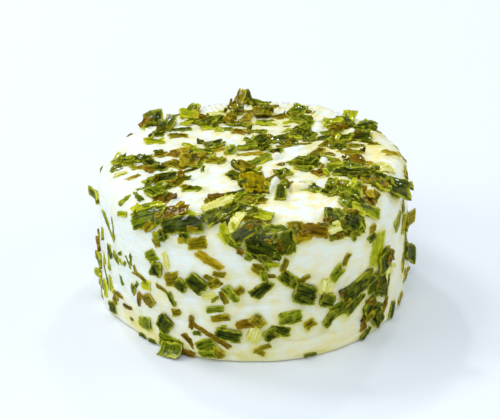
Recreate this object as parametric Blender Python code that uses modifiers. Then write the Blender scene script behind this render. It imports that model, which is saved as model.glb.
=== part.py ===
"""Herbed cream cheese: a short round drum of fresh cheese, pressed all over with chopped chives.

Millimetres are used for every size below and turned into metres where a point is made.
The drum stands on its flat underside at z = 0, and the front is towards -Y.
"""

import math
import random

import bmesh
import bpy
from mathutils import Vector

MM = 0.001

# The drum, as it comes out of its mould
DRUM_RADIUS = 35.0
DRUM_HEIGHT = 33.0
RIM_RADIUS = 6.0
FOOT_RADIUS = 0.9
TOP_CROWN = 0.5
FLAT = DRUM_RADIUS - RIM_RADIUS
WALL = FLAT + RIM_RADIUS * math.pi / 2
WALL_HEIGHT = DRUM_HEIGHT - RIM_RADIUS
TURN_STEPS = 60

# It leans a little: higher on the right, lower at the back
RISE_RIGHT = 0.75
DROP_BACK = 0.5

# How far the skin is pushed out (+) or in (-) by hand: angle, height, spread, amount
DENTS_SIDE = (
    (-50, 2.5, 5.5, -0.75),
    (-72, 1.5, 4.0, 0.7),
    (-20, 19, 7.0, 0.25),
    (8, 12, 8.0, -0.25),
    (30, 24, 6.0, 0.25),
    (52, 5, 6.0, -0.25),
    (86, 8, 5.5, 0.7),
    (125, 17, 9.0, -0.4),
    (165, 9, 8.0, 0.35),
    (205, 22, 8.0, -0.35),
    (245, 10, 8.0, 0.3),
    (-80, 20, 6.0, 0.2),
)
# The same on top: x, y, spread, amount
DENTS_TOP = (
    (30, 8, 3.5, -0.7),
    (-27, 13, 3.5, -0.7),
    (15, 26, 3.5, 0.6),
    (-22, 15, 4.0, 0.3),
    (16, -11, 3.0, -0.35),
    (7, -20, 5.0, 0.25),
    (-11, -10, 5.0, -0.2),
    (4, 14, 5.0, -0.2),
    (19, 4, 4.5, -0.25),
)

# Chopped chives. A leaf lies half a millimetre proud, and those on top of others stand higher
PROUD = (0.5, 1.05)
SUNK = 0.5
FREE_END = 0.95
LEAST_AREA = 9.0
BROAD_AREA = 16.0
FOOT_CLEAR = 0.3

# Corners of a cut leaf, round from its far end, as shares of half its length and half its width
BROAD_OUTLINE = (
    (0.97, 0.45),
    (0.6, 1.0),
    (-0.6, 1.0),
    (-0.97, 0.45),
    (-0.97, -0.45),
    (-0.6, -1.0),
    (0.6, -1.0),
    (0.97, -0.45),
)
SMALL_OUTLINE = ((0.8, 0.85), (-0.8, 0.85), (-1.0, 0.0), (-0.8, -0.85), (0.8, -0.85), (1.0, 0.0))

# Leaf places are as they look from the front and this far above, against the plain upright drum
SEEN_FROM = math.radians(28.4)
NEARLY_EDGE_ON = 0.45

# On the side: angle from the front, height, length, width, turn, layer, lift of the far end
SIDE = (
    # left
    (-85, 24.6, 4.0, 2.8, 168, 1, 1.5),
    (-67, 22.5, 8.2, 1.2, -33, 0, 0.0),
    (-50, 19.0, 2.6, 1.2, 80, 0, 0.0),
    (-44.5, 16.0, 3.2, 1.0, -18, 0, 0.0),
    (-42, 14.5, 2.6, 2.4, 10, 0, 0.0),
    (-49, 11.5, 3.2, 1.6, 80, 0, 0.0),
    (-41.2, 10.9, 3.6, 3.3, 35, 0, 0.0),
    (-85, 14.2, 3.2, 2.9, 60, 0, 0.4),
    (-86, 11.6, 3.6, 2.6, 170, 1, 0.6),
    (-82, 8.8, 3.4, 2.8, 150, 1, 0.5),
    (-67.5, 13.4, 4.2, 1.4, -78, 0, 0.0),
    (-84, 3.8, 4.2, 2.6, 172, 1, 1.0),
    (-80, 2.4, 4.0, 2.6, 85, 0, 0.3),
    (-72, 4.6, 3.4, 2.0, -60, 0, 0.0),
    (-71.5, 8.0, 5.8, 1.2, -44, 0, 0.0),
    (-75, 5.0, 2.8, 2.4, 30, 0, 0.0),
    (-66, 1.9, 3.6, 3.0, 20, 0, 0.0),
    (-53, 5.9, 3.6, 1.1, 10, 0, 0.0),
    (-56, 28.5, 3.2, 1.2, 20, 0, 0.0),
    (-39, 22.5, 3.3, 3.0, 35, 0, 0.0),
    (-37, 19.7, 3.5, 2.7, 80, 1, 0.0),
    (-32.5, 22.5, 4.2, 1.6, -75, 0, 0.0),
    (-30, 18.5, 3.8, 3.5, 20, 0, 0.0),
    (-26.5, 17.5, 3.0, 2.6, -40, 1, 0.0),
    (-36.5, 26.3, 2.2, 1.8, -60, 0, 0.0),
    (-34.5, 15.2, 3.0, 0.9, -20, 0, 0.0),
    (-30.5, 13.5, 3.6, 1.3, -65, 0, 0.0),
    (-28.5, 10.5, 2.4, 1.7, 20, 0, 0.0),
    (-43.5, 4.5, 4.4, 3.2, 15, 0, 0.0),
    (-34, 6.4, 4.2, 3.8, 60, 1, 0.0),
    (-31.0, 2.3, 6.4, 3.2, -6, 0, 0.0),
    (-31, 1.1, 2.7, 5.4, -92, 1, 2.0),
    # front left
    (-20, 28.5, 4.4, 2.6, 15, 0, 0.0),
    (-15.5, 25.0, 6.6, 2.0, -30, 0, 0.0),
    (-20.5, 18.8, 4.6, 3.7, -35, 1, 0.0),
    (-12, 22.0, 2.8, 1.4, -5, 0, 0.0),
    (-13.5, 19.7, 3.2, 2.4, 30, 0, 0.0),
    (-16, 16.6, 3.0, 2.0, 10, 0, 0.0),
    (-13.5, 13.2, 4.0, 1.6, 15, 0, 0.0),
    (-10.5, 16.5, 3.4, 1.4, -70, 0, 0.0),
    (-7.8, 17.3, 4.4, 1.9, -50, 1, 0.0),
    (-5, 18.3, 2.4, 1.8, 40, 0, 0.0),
    (-11.7, 11.2, 4.2, 1.7, 15, 0, 0.0),
    (-22.5, 9.0, 3.4, 1.2, 85, 0, 0.0),
    (-15, 6.3, 9.8, 1.1, -30, 0, 0.0),
    (-23.5, 4.0, 4.2, 1.6, -50, 0, 0.0),
    (-9, 7.0, 5.6, 2.8, -10, 1, 0.0),
    (-17, 3.8, 4.6, 3.0, 25, 0, 0.0),
    (-16.5, 1.6, 3.6, 1.8, 5, 1, 0.0),
    (-12.5, 2.2, 2.8, 2.4, -20, 0, 0.0),
    # front
    (2, 23.5, 3.7, 2.5, -30, 0, 0.0),
    (3.7, 22.0, 2.8, 1.5, -80, 1, 0.0),
    (7, 24.7, 2.8, 1.0, -8, 0, 0.0),
    (11, 24.3, 3.2, 1.7, 65, 0, 0.0),
    (12.5, 20.8, 5.0, 3.0, -40, 0, 0.0),
    (3, 18.7, 5.2, 2.7, 40, 0, 0.0),
    (18, 20.3, 3.0, 1.2, 25, 0, 0.0),
    (18.6, 16.5, 5.3, 4.6, -25, 1, 0.0),
    (13.3, 11.2, 5.2, 3.2, 3, 0, 0.0),
    (-3, 10.0, 3.8, 2.1, 10, 0, 0.0),
    (1.8, 10.7, 3.2, 2.4, -45, 1, 0.0),
    (0.3, 7.5, 3.6, 2.8, 70, 0, 0.0),
    (9.5, 8.2, 4.6, 2.8, -15, 0, 0.0),
    (6.3, 7.2, 3.4, 2.6, 30, 1, 0.0),
    (3.5, 4.0, 3.6, 1.1, 20, 0, 0.0),
    (2.3, 2.9, 2.6, 1.3, -25, 0, 0.0),
    (20.5, 8.8, 2.6, 2.3, 30, 0, 0.0),
    # right
    (31, 19.8, 3.8, 2.9, 45, 0, 0.0),
    (35, 22.5, 2.9, 1.4, 60, 0, 0.0),
    (26.5, 17.5, 3.6, 3.0, 80, 0, 0.0),
    (27.5, 13.7, 3.4, 3.2, -20, 1, 0.0),
    (32, 10.5, 5.0, 3.5, 10, 0, 0.0),
    (28.5, 8.8, 4.0, 2.0, 55, 1, 0.0),
    (47.5, 27.3, 1.9, 1.7, 10, 0, 0.0),
    (47.5, 25.2, 2.6, 2.2, 20, 0, 0.0),
    (51.2, 21.4, 7.8, 4.6, 80, 0, 0.0),
    (56.5, 16.9, 5.2, 4.4, -80, 1, 0.0),
    (59.5, 13.0, 3.2, 3.2, 20, 0, 0.0),
    (41.5, 14.1, 9.8, 3.8, 23, 1, 0.2),
    (56, 10.9, 5.4, 5.4, 75, 0, 0.0),
    (39.5, 10.7, 6.4, 3.0, 30, 0, 0.0),
    (49.5, 13.4, 5.2, 3.6, 70, 0, 0.0),
    (48, 7.6, 4.2, 3.0, 35, 1, 0.0),
    (44.5, 5.2, 5.2, 1.6, 80, 0, 0.0),
    (52.5, 3.8, 5.2, 4.0, -60, 1, 0.0),
    (57.5, 5.4, 3.6, 1.4, 60, 0, 0.0),
    (64, 2.0, 4.0, 2.6, 60, 0, 0.0),
    (73, 2.0, 2.8, 2.0, 30, 0, 0.0),
    (46, 1.2, 3.8, 1.4, 25, 0, 0.0),
    (66.5, 24.4, 4.4, 3.2, 40, 0, 0.0),
    (71, 26.0, 3.0, 2.2, -80, 0, 0.0),
    (80, 19.9, 5.0, 3.0, 4, 1, 1.0),
    (76, 20.2, 4.8, 2.4, 80, 0, 0.0),
    (82, 11.2, 5.4, 3.8, -40, 1, 1.1),
    (80, 16.4, 6.0, 2.4, -80, 0, 0.2),
    (75, 11.0, 5.0, 2.2, 80, 0, 0.0),
    (78, 6.0, 3.8, 2.4, 30, 0, 0.0),
    (86, 4.0, 3.8, 2.4, 10, 0, 0.6),
)

# On top, as if the rim were rolled flat: x, y, length, width, turn, layer, lift of the far end
TOP = (
    # back left
    (-23.5, 17.4, 4.6, 3.8, 80, 1, 2.0),
    (-21.3, 14.0, 5.0, 2.6, 85, 1, 0.5),
    (-19.7, 15.3, 6.2, 2.4, 80, 1, 1.2),
    (-25.2, 15.2, 2.8, 1.6, 60, 0, 0.0),
    (-21.8, 11.4, 3.6, 2.7, 70, 0, 0.0),
    (-17.2, 13.4, 5.6, 1.5, 5, 0, 0.0),
    (-17.3, 10.0, 4.6, 2.1, 10, 0, 0.0),
    (-22.8, 7.5, 4.5, 2.6, 3, 0, 0.0),
    (-21.2, 0.5, 2.9, 3.1, 0, 0, 0.0),
    (-17.6, 0.4, 3.2, 3.0, -35, 0, 0.0),
    (-15.0, 20.6, 4.8, 3.4, -20, 1, 0.3),
    (-14.8, 23.6, 3.8, 3.0, 50, 1, 0.9),
    (-14.3, 18.2, 3.8, 2.6, 0, 0, 0.0),
    (-12.5, 19.8, 5.0, 1.7, -40, 1, 0.0),
    (-11.0, 17.2, 4.5, 2.8, 35, 1, 0.0),
    (-8.2, 19.2, 5.0, 4.6, 20, 0, 0.0),
    (-8.3, 22.4, 5.6, 1.8, 5, 0, 0.0),
    (-10.2, 14.7, 4.4, 1.6, 12, 0, 0.0),
    (-5.6, 19.5, 6.5, 1.9, 72, 1, 0.0),
    (-3.6, 22.8, 3.8, 2.6, 80, 1, 0.3),
    (-1.6, 20.2, 5.0, 2.5, 85, 0, 0.0),
    (-4.2, 27.0, 5.6, 2.0, 55, 1, 2.6),
    (-0.6, 28.4, 4.8, 1.7, 118, 1, 2.4),
    (-3.9, 16.9, 4.2, 3.0, -10, 0, 0.0),
    (-3.3, 12.4, 3.3, 2.4, -8, 0, 0.0),
    (0.6, 12.7, 5.2, 1.8, -2, 0, 0.0),
    # left
    (-29.3, -3.2, 4.6, 2.7, 12, 1, 0.2),
    (-30.8, -5.5, 3.3, 2.8, 20, 0, 0.0),
    (-27.6, -4.8, 3.0, 2.2, -25, 0, 0.0),
    (-26.2, -2.8, 7.0, 2.3, 4, 1, 0.2),
    (-25.5, -6.0, 4.1, 2.3, 5, 0, 0.0),
    (-23.0, -4.8, 4.0, 2.8, -60, 1, 0.2),
    (-21.0, -6.2, 4.0, 2.8, -20, 0, 0.0),
    (-31.2, 0.2, 4.2, 1.0, 68, 0, 0.0),
    (-26.7, -10.8, 3.6, 1.1, 38, 0, 0.0),
    (-19.3, -11.9, 5.4, 4.0, 12, 1, 0.2),
    (-23.0, -12.2, 3.4, 2.2, 60, 0, 0.0),
    (-17.2, -13.2, 4.3, 4.0, 60, 0, 0.0),
    (-15.5, -11.8, 3.0, 2.4, -70, 0, 0.0),
    (-21.2, -18.7, 5.0, 3.8, -60, 1, 0.3),
    (-19.7, -20.7, 4.8, 3.8, 80, 0, 0.0),
    (-25.0, -19.2, 4.0, 1.2, -62, 0, 0.0),
    (-28.2, -20.3, 4.2, 1.3, -19, 0, 0.0),
    (-13.3, -16.5, 4.6, 2.4, -5, 0, 0.0),
    (-18.6, -4.6, 2.8, 2.2, 20, 0, 0.0),
    # left of the middle
    (-14.6, 5.0, 3.6, 1.7, -25, 0, 0.0),
    (-15.8, 2.2, 3.5, 3.2, 35, 0, 0.0),
    (-11.3, 1.2, 5.0, 2.4, -12, 1, 0.0),
    (-16.9, -4.8, 5.0, 3.2, -40, 0, 0.0),
    (-14.3, -3.6, 5.4, 4.4, 85, 1, 0.2),
    (-12.2, -4.2, 4.6, 2.2, 75, 0, 0.0),
    (-13.8, -7.2, 4.2, 1.3, 30, 0, 0.0),
    (-8.6, -2.8, 4.9, 3.2, -6, 0, 0.0),
    (-8.9, 5.0, 4.6, 4.0, 25, 1, 0.3),
    (-5.5, 2.0, 3.6, 2.0, 85, 0, 0.0),
    # front left rim
    (-22.8, -25.7, 8.0, 4.4, -12, 1, 0.2),
    (-22.2, -23.3, 5.6, 1.7, -8, 1, 0.0),
    (-17.3, -26.4, 7.0, 2.8, -8, 1, 0.2),
    (-14.0, -27.6, 2.8, 2.4, -30, 0, 0.0),
    (-14.9, -30.1, 9.8, 3.5, -11, 1, 0.2),
    (-20.0, -30.6, 3.0, 2.2, -15, 0, 0.0),
    (-15.2, -32.4, 2.8, 2.2, -40, 0, 0.0),
    (-11.7, -28.8, 2.5, 2.2, 10, 0, 0.0),
    # middle
    (1.8, 7.0, 4.6, 4.2, 40, 1, 0.2),
    (-1.4, 3.8, 4.7, 2.4, 8, 1, 0.0),
    (2.2, 4.0, 3.7, 2.4, -15, 0, 0.0),
    (-0.8, 0.9, 6.0, 1.8, 6, 0, 0.0),
    (1.4, -2.6, 6.6, 2.8, 38, 0, 0.0),
    (6.2, 7.6, 4.5, 3.0, 15, 1, 0.0),
    (8.3, 6.6, 3.5, 2.7, 12, 0, 0.0),
    (10.3, 5.6, 6.2, 2.0, 12, 0, 0.0),
    (5.0, 2.0, 3.1, 2.6, -15, 0, 0.0),
    (-2.0, -6.4, 4.6, 3.7, -45, 1, 0.2),
    (-4.3, -10.0, 4.2, 3.3, -55, 0, 0.0),
    (0.2, -15.0, 9.4, 5.2, -80, 1, 0.2),
    (3.0, -15.2, 6.4, 1.9, 76, 0, 0.0),
    (6.6, -9.2, 3.2, 3.1, 10, 1, 0.0),
    (7.0, -13.2, 4.2, 1.6, -75, 0, 0.0),
    (4.0, -11.2, 3.8, 1.4, 35, 0, 0.0),
    (5.9, -18.8, 6.0, 2.4, 88, 1, 0.0),
    # back right
    (2.0, 22.4, 5.6, 4.2, -80, 1, 0.4),
    (1.3, 27.8, 5.6, 1.8, -25, 1, 0.4),
    (6.4, 20.2, 3.5, 2.8, 15, 0, 0.0),
    (10.2, 22.6, 4.8, 4.0, 60, 1, 0.4),
    (12.9, 22.8, 2.8, 1.9, -20, 0, 0.0),
    (10.9, 18.4, 4.7, 4.4, -30, 1, 0.0),
    (8.2, 17.2, 3.1, 2.0, 20, 0, 0.0),
    (12.6, 15.4, 4.2, 2.9, 60, 1, 0.0),
    (11.5, 10.6, 4.7, 3.8, -35, 1, 0.0),
    (9.0, 11.0, 4.6, 1.4, 68, 0, 0.0),
    (15.0, 8.4, 7.0, 1.8, 14, 0, 0.0),
    (16.4, 16.4, 2.8, 2.5, -50, 0, 0.0),
    (17.7, 15.8, 4.6, 2.2, -65, 0, 0.0),
    (18.7, 17.4, 4.2, 2.6, 8, 1, 0.2),
    (19.7, 14.2, 4.2, 3.5, 60, 0, 0.0),
    (22.1, 17.6, 4.4, 2.9, 78, 1, 1.5),
    (25.5, 14.9, 4.4, 2.8, 20, 1, 0.6),
    (26.3, 17.9, 3.2, 2.9, 60, 0, 1.1),
    (28.4, 15.6, 3.8, 1.6, -50, 0, 0.2),
    # right
    (16.6, 6.0, 4.7, 1.9, 58, 0, 0.0),
    (19.3, 4.8, 4.5, 3.1, -5, 0, 0.0),
    (20.0, 7.8, 5.4, 2.8, -8, 1, 0.3),
    (14.4, 1.6, 5.5, 2.6, 62, 0, 0.0),
    (17.0, -2.4, 4.2, 2.4, -15, 0, 0.0),
    (11.5, -3.4, 4.7, 3.6, -10, 1, 0.0),
    (11.2, -6.7, 4.5, 2.1, -4, 0, 0.0),
    (13.7, -4.2, 4.2, 2.2, 85, 0, 0.0),
    (8.8, -3.7, 2.8, 2.5, 20, 0, 0.0),
    (14.7, -8.4, 3.3, 2.6, 40, 0, 0.0),
    (17.8, -6.6, 4.4, 3.2, 5, 0, 0.0),
    (12.6, -16.4, 4.7, 2.8, -22, 0, 0.0),
    (17.2, -14.2, 3.4, 2.3, 80, 1, 0.3),
    (16.6, -17.8, 4.2, 4.0, -40, 0, 0.0),
    (18.7, -17.8, 3.8, 2.6, 60, 0, 0.0),
    (25.2, 12.2, 4.5, 2.2, -6, 0, 0.0),
    (24.6, 8.6, 5.2, 4.0, -8, 1, 0.2),
    (27.2, 6.0, 3.2, 2.2, 8, 0, 0.0),
    (21.9, 1.6, 4.8, 4.0, -45, 0, 0.0),
    (23.1, -3.0, 4.6, 4.2, -75, 0, 0.0),
    (22.1, -9.0, 8.8, 3.9, -13, 1, 0.3),
    (25.8, -5.4, 3.2, 1.6, 85, 0, 0.0),
    (27.9, -6.2, 5.0, 4.6, 30, 0, 0.0),
    (31.0, 1.8, 3.6, 2.7, 15, 0, 0.2),
    (34.2, 3.9, 3.2, 1.7, -65, 0, 0.4),
    # front right rim
    (20.8, -17.2, 6.8, 5.4, 88, 1, 0.2),
    (20.4, -22.4, 4.2, 3.8, -20, 0, 0.0),
    (25.3, -12.8, 3.7, 2.1, -6, 0, 0.0),
    (28.2, -14.2, 3.7, 2.7, 38, 1, 0.3),
    (29.5, -12.4, 6.8, 4.8, -18, 1, 3.2),
    (26.6, -18.4, 3.4, 1.8, 78, 0, 0.0),
    (25.0, -20.6, 3.1, 2.6, -40, 0, 0.0),
    (25.3, -23.0, 5.2, 2.3, 12, 1, 0.0),
    (17.6, -27.9, 5.2, 3.8, 0, 1, 0.2),
    (21.0, -27.0, 5.4, 4.0, 5, 1, 0.2),
    (23.0, -26.2, 4.4, 3.4, -40, 0, 0.0),
    (18.4, -31.0, 3.6, 2.2, 20, 0, 0.0),
    (22.3, -29.3, 5.6, 1.7, 26, 0, 0.0),
    (13.0, -31.6, 5.8, 2.4, 7, 1, 0.0),
    (11.0, -33.3, 4.6, 2.0, 20, 0, 0.0),
    (9.3, -31.2, 4.5, 2.0, 4, 0, 0.0),
    # front clump
    (-4.4, -19.2, 5.0, 2.1, 22, 0, 0.0),
    (-1.6, -22.2, 5.3, 4.5, -20, 1, 0.0),
    (0.9, -21.9, 4.2, 2.8, -12, 0, 0.0),
    (-8.6, -22.4, 4.1, 3.9, 20, 0, 0.0),
    (-7.3, -24.6, 8.6, 2.7, 38, 1, 0.2),
    (-6.7, -27.7, 8.4, 3.4, 36, 1, 0.3),
    (-3.9, -26.6, 4.3, 3.5, 60, 0, 0.0),
    (-5.0, -30.6, 3.8, 2.8, 30, 0, 0.0),
    (-3.8, -31.0, 5.7, 2.3, 60, 1, 0.0),
    (0.0, -26.8, 3.3, 3.0, 40, 0, 0.0),
    (2.2, -29.0, 3.9, 2.8, -22, 1, 0.2),
    (0.3, -31.0, 4.3, 3.9, 10, 0, 0.0),
    (-2.2, -33.5, 5.4, 2.9, 28, 1, 0.0),
    (-6.1, -33.9, 2.9, 2.1, -55, 0, 0.0),
    (-4.2, -35.6, 3.3, 1.8, -30, 0, 0.0),
    (4.2, -32.4, 4.6, 1.9, 4, 0, 0.0),
    (2.0, -35.8, 8.2, 4.6, -8, 1, 0.2),
    (6.8, -35.2, 4.5, 4.8, -80, 1, 0.0),
    (2.2, -38.1, 5.6, 3.2, -25, 0, 0.0),
)

# The far side carries the same litter of leaves, in loose clumps
FAR_SEED = 20
FAR_COUNT = 56
FAR_FROM, FAR_TO = 99, 259


def far_side():
    draw = random.Random(FAR_SEED)
    rows = []
    while len(rows) < FAR_COUNT:
        angle = draw.uniform(FAR_FROM, FAR_TO)
        height = draw.uniform(2.0, 30.5)
        length = draw.uniform(2.8, 6.2)
        width = min(length * 0.85, draw.uniform(1.3, 3.9))
        near = any(
            math.hypot(math.radians(angle - row[0]) * DRUM_RADIUS, height - row[1]) < 3.1
            for row in rows
        )
        if near:
            continue
        layer = 1 if draw.random() < 0.3 else 0
        lift = draw.choice((0, 0, 0, 0.3, 0.8))
        rows.append((angle, height, length, width, draw.uniform(-80, 80), layer, lift * layer))
    return rows


def pressed(point):
    """How far the hand-pressed skin stands out from the plain drum at this point of it."""
    total = 0.0
    for angle, height, spread, amount in DENTS_SIDE:
        turn = math.radians(angle)
        middle = Vector((DRUM_RADIUS * math.sin(turn), -DRUM_RADIUS * math.cos(turn), height))
        total += amount * math.exp(-((point - middle).length / spread) ** 2)
    for x, y, spread, amount in DENTS_TOP:
        middle = Vector((x, y, DRUM_HEIGHT))
        total += amount * math.exp(-((point - middle).length / spread) ** 2)
    return total


def plain_skin(angle, run):
    """The plain drum's skin, so far from the middle of the top along it: point, way out, tilt."""
    tilt = min(max((run - FLAT) / RIM_RADIUS, 0.0), math.pi / 2)
    radius = run if run < FLAT else FLAT + RIM_RADIUS * math.sin(tilt)
    height = WALL_HEIGHT + RIM_RADIUS * math.cos(tilt) - max(run - WALL, 0.0)
    around = Vector((math.sin(angle), -math.cos(angle), 0))
    plain = around * radius + Vector((0, 0, height))
    return plain, around * math.sin(tilt) + Vector((0, 0, math.cos(tilt))), tilt


def swollen(plain):
    """How far the real skin stands out from the plain drum at this point of it."""
    radius = math.hypot(plain.x, plain.y)
    return pressed(plain) + TOP_CROWN * max(1 - (radius / FLAT) ** 2, 0.0)


def lean(point):
    """How much higher the leaning drum is here than the upright one."""
    share = max(point.z, 0.0) / DRUM_HEIGHT
    return (RISE_RIGHT * point.x - DROP_BACK * point.y) / DRUM_RADIUS * share


def skin(angle, run, out):
    """The point at this angle, so far from the middle of the top along the skin, so far out of it."""
    plain, normal, tilt = plain_skin(angle, run)
    point = plain + normal * (swollen(plain) + out)
    point.z += lean(point)
    return point


def seat_side(angle, height, layer):
    """Shifts a place on the side so that a proud leaf on the real skin still looks in its place."""
    turn = math.radians(angle)
    plain = Vector((DRUM_RADIUS * math.sin(turn), -DRUM_RADIUS * math.cos(turn), height))
    out = PROUD[layer] - 0.1 + pressed(plain)
    facing = max(math.cos(turn), 0.0)
    share = min(facing / NEARLY_EDGE_ON, 1.0) / max(facing, NEARLY_EDGE_ON)
    back = out * math.sin(turn) * share
    raised = out * math.tan(SEEN_FROM) * share - lean(plain)
    return angle - math.degrees(back / DRUM_RADIUS), height + raised


def seat_top(x, y):
    """The same on top, for the crown, the dents and the lean."""
    angle = math.atan2(x, -y)
    plain, normal, tilt = plain_skin(angle, math.hypot(x, y))
    rise = swollen(plain) * math.cos(tilt) + lean(plain)
    steep = max(math.sin(SEEN_FROM + tilt * math.cos(angle)), 0.4)
    return x, y - rise * math.cos(SEEN_FROM) / steep


def material(name, colour, roughness, scatter):
    made = bpy.data.materials.new(name)
    made.use_nodes = True
    shader = made.node_tree.nodes["Principled BSDF"]
    shader.inputs["Base Color"].default_value = (*colour, 1)
    shader.inputs["Roughness"].default_value = roughness
    shader.inputs["Subsurface Weight"].default_value = scatter
    shader.inputs["Subsurface Scale"].default_value = 2 * MM
    return made


def drum(collection):
    """The cheese itself: a turned drum with a rounded rim, then pressed out of true by hand."""
    profile = [(0, DRUM_HEIGHT)]
    profile += [(radius, DRUM_HEIGHT) for radius in (10, 19, 25.5)]
    for step in range(5):
        tilt = math.pi / 2 * step / 4
        radius = FLAT + RIM_RADIUS * math.sin(tilt)
        profile.append((radius, WALL_HEIGHT + RIM_RADIUS * math.cos(tilt)))
    profile += [(DRUM_RADIUS, height) for height in (22, 17, 12, 7.5, 3.5)]
    for step in range(3):
        tilt = math.pi / 2 * step / 2
        radius = DRUM_RADIUS - FOOT_RADIUS + FOOT_RADIUS * math.cos(tilt)
        profile.append((radius, FOOT_RADIUS - FOOT_RADIUS * math.sin(tilt)))
    profile.append((0, 0))
    mesh = bpy.data.meshes.new("drum_profile")
    points = [(radius * MM, 0, height * MM) for radius, height in profile]
    mesh.from_pydata(points, [(k, k + 1) for k in range(len(points) - 1)], [])
    turned = bpy.data.objects.new("drum_profile", mesh)
    collection.objects.link(turned)
    screw = turned.modifiers.new("turned", "SCREW")
    screw.axis = "Z"
    screw.steps = TURN_STEPS
    screw.render_steps = TURN_STEPS
    screw.use_merge_vertices = True
    screw.merge_threshold = 0.00005
    bpy.context.view_layer.update()
    graph = bpy.context.evaluated_depsgraph_get()
    solid = bpy.data.meshes.new_from_object(turned.evaluated_get(graph))
    bpy.data.objects.remove(turned)
    for vertex in solid.vertices:
        plain = vertex.co / MM
        radius = math.hypot(plain.x, plain.y)
        angle = math.atan2(plain.x, -plain.y)
        if plain.z <= FOOT_RADIUS + 0.01:
            moved = plain.copy()
            if radius > 1:
                moved += Vector((plain.x, plain.y, 0)) / radius * pressed(plain)
        elif plain.z <= WALL_HEIGHT:
            moved = skin(angle, WALL + WALL_HEIGHT - plain.z, 0)
        elif radius > FLAT:
            tilt = math.atan2(radius - FLAT, plain.z - WALL_HEIGHT)
            moved = skin(angle, FLAT + RIM_RADIUS * tilt, 0)
        else:
            moved = skin(angle, radius, 0)
        vertex.co = moved * MM
    return solid


def leaf(place, length, width, turn, layer, lift, seed):
    """One cut of chive: an oblong slab that follows the skin, sunk in it, with its far end lifted."""
    draw = random.Random(seed)
    skew = draw.uniform(-0.3, 0.3)
    taper = draw.uniform(-0.22, 0.22)
    bow = draw.uniform(-0.15, 0.15)
    arch = draw.uniform(0.1, 0.3)
    foot = FOOT_CLEAR + draw.uniform(0.0, 0.15)
    proud = PROUD[layer] + draw.uniform(-0.08, 0.08)
    along = math.radians(turn)
    outline = BROAD_OUTLINE if length * width > BROAD_AREA else SMALL_OUTLINE
    corners = [(s + draw.uniform(-0.1, 0.1), t + draw.uniform(-0.08, 0.08)) for s, t in outline]
    ridge = [(-0.45, 0.05), (0.45, -0.05)]

    def at(s, t, sunk):
        free = min(max((s + 0.1) / 1.1, 0.0), 1.0) ** 2
        if sunk:
            out = -SUNK + free * max(proud + lift - FREE_END + SUNK, 0.0) * (lift > 0.25)
        else:
            out = proud + lift * free + arch * (1 - min(abs(t), 1))
        u = (s + skew * t * width / length) * length / 2
        v = (t * (1 - taper * s) + bow * (s * s - 0.5)) * width / 2
        across = u * math.cos(along) - v * math.sin(along)
        up = u * math.sin(along) + v * math.cos(along)
        point = place(across, up, out)
        point.z = max(point.z, foot)
        return point * MM

    points = [at(s, t, False) for s, t in corners + ridge]
    points += [at(s, t, True) for s, t in corners + ridge]
    ring = len(corners)
    first, last = ring // 2 - 2, ring - 2
    near, far = ring, ring + 1
    faces = [(k, (k + 1) % ring, near if first <= k < last else far) for k in range(ring)]
    faces.append((first, near, far))
    faces.append((last, far, near))
    under = [tuple(index + ring + 2 for index in reversed(face)) for face in faces]
    for k in range(ring):
        after = (k + 1) % ring
        under.append((k, k + ring + 2, after + ring + 2, after))
    return points, faces + under


def side_place(angle, height):
    def place(across, up, out):
        run = WALL + WALL_HEIGHT - height - up
        return skin(math.radians(angle) + across / DRUM_RADIUS, run, out)

    return place


def top_place(x, y):
    def place(across, up, out):
        return skin(math.atan2(x + across, -y - up), math.hypot(x + across, y + up), out)

    return place


def drop_loose(mesh):
    """Keeps only the largest connected piece, so that the cheese is one solid."""
    work = bmesh.new()
    work.from_mesh(mesh)
    left = set(work.verts)
    islands = []
    while left:
        island = {left.pop()}
        edge_of = list(island)
        while edge_of:
            vertex = edge_of.pop()
            for edge in vertex.link_edges:
                other = edge.other_vert(vertex)
                if other in left:
                    left.remove(other)
                    island.add(other)
                    edge_of.append(other)
        islands.append(island)
    largest = max(islands, key=len)
    loose = [vertex for island in islands if island is not largest for vertex in island]
    bmesh.ops.delete(work, geom=loose, context="VERTS")
    work.to_mesh(mesh)
    work.free()


for old in list(bpy.data.objects):
    bpy.data.objects.remove(old)

cheese = material("soft white fresh cheese", (0.86, 0.85, 0.76), 0.45, 0.3)
chive = material("wet chopped chive", (0.09, 0.15, 0.02), 0.3, 0.1)

parts = bpy.data.collections.new("herbed_cream_cheese")
bpy.context.scene.collection.children.link(parts)
leaves = bpy.data.collections.new("leaves_to_fuse")
bpy.context.scene.collection.children.link(leaves)
leaves.hide_render = True

body = bpy.data.objects.new("herbed_cream_cheese", drum(parts))
parts.objects.link(body)
body.data.materials.append(cheese)

places = [(side_place(*seat_side(*row[:2], row[5])), row) for row in SIDE + tuple(far_side())]
places += [(top_place(*seat_top(*row[:2])), row) for row in TOP]
for place, row in places:
    length, width, turn, layer, lift = row[2:]
    if length * width < LEAST_AREA:
        continue
    points, faces = leaf(place, length, width, turn, layer, lift, round(row[0] * 100 + row[1]))
    mesh = bpy.data.meshes.new("leaf")
    mesh.from_pydata(points, [], faces)
    work = bmesh.new()
    work.from_mesh(mesh)
    bmesh.ops.recalc_face_normals(work, faces=work.faces)
    bmesh.ops.triangulate(work, faces=work.faces)
    work.to_mesh(mesh)
    work.free()
    mesh.materials.append(chive)
    piece = bpy.data.objects.new("leaf", mesh)
    piece.display_type = "WIRE"
    leaves.objects.link(piece)

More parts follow.
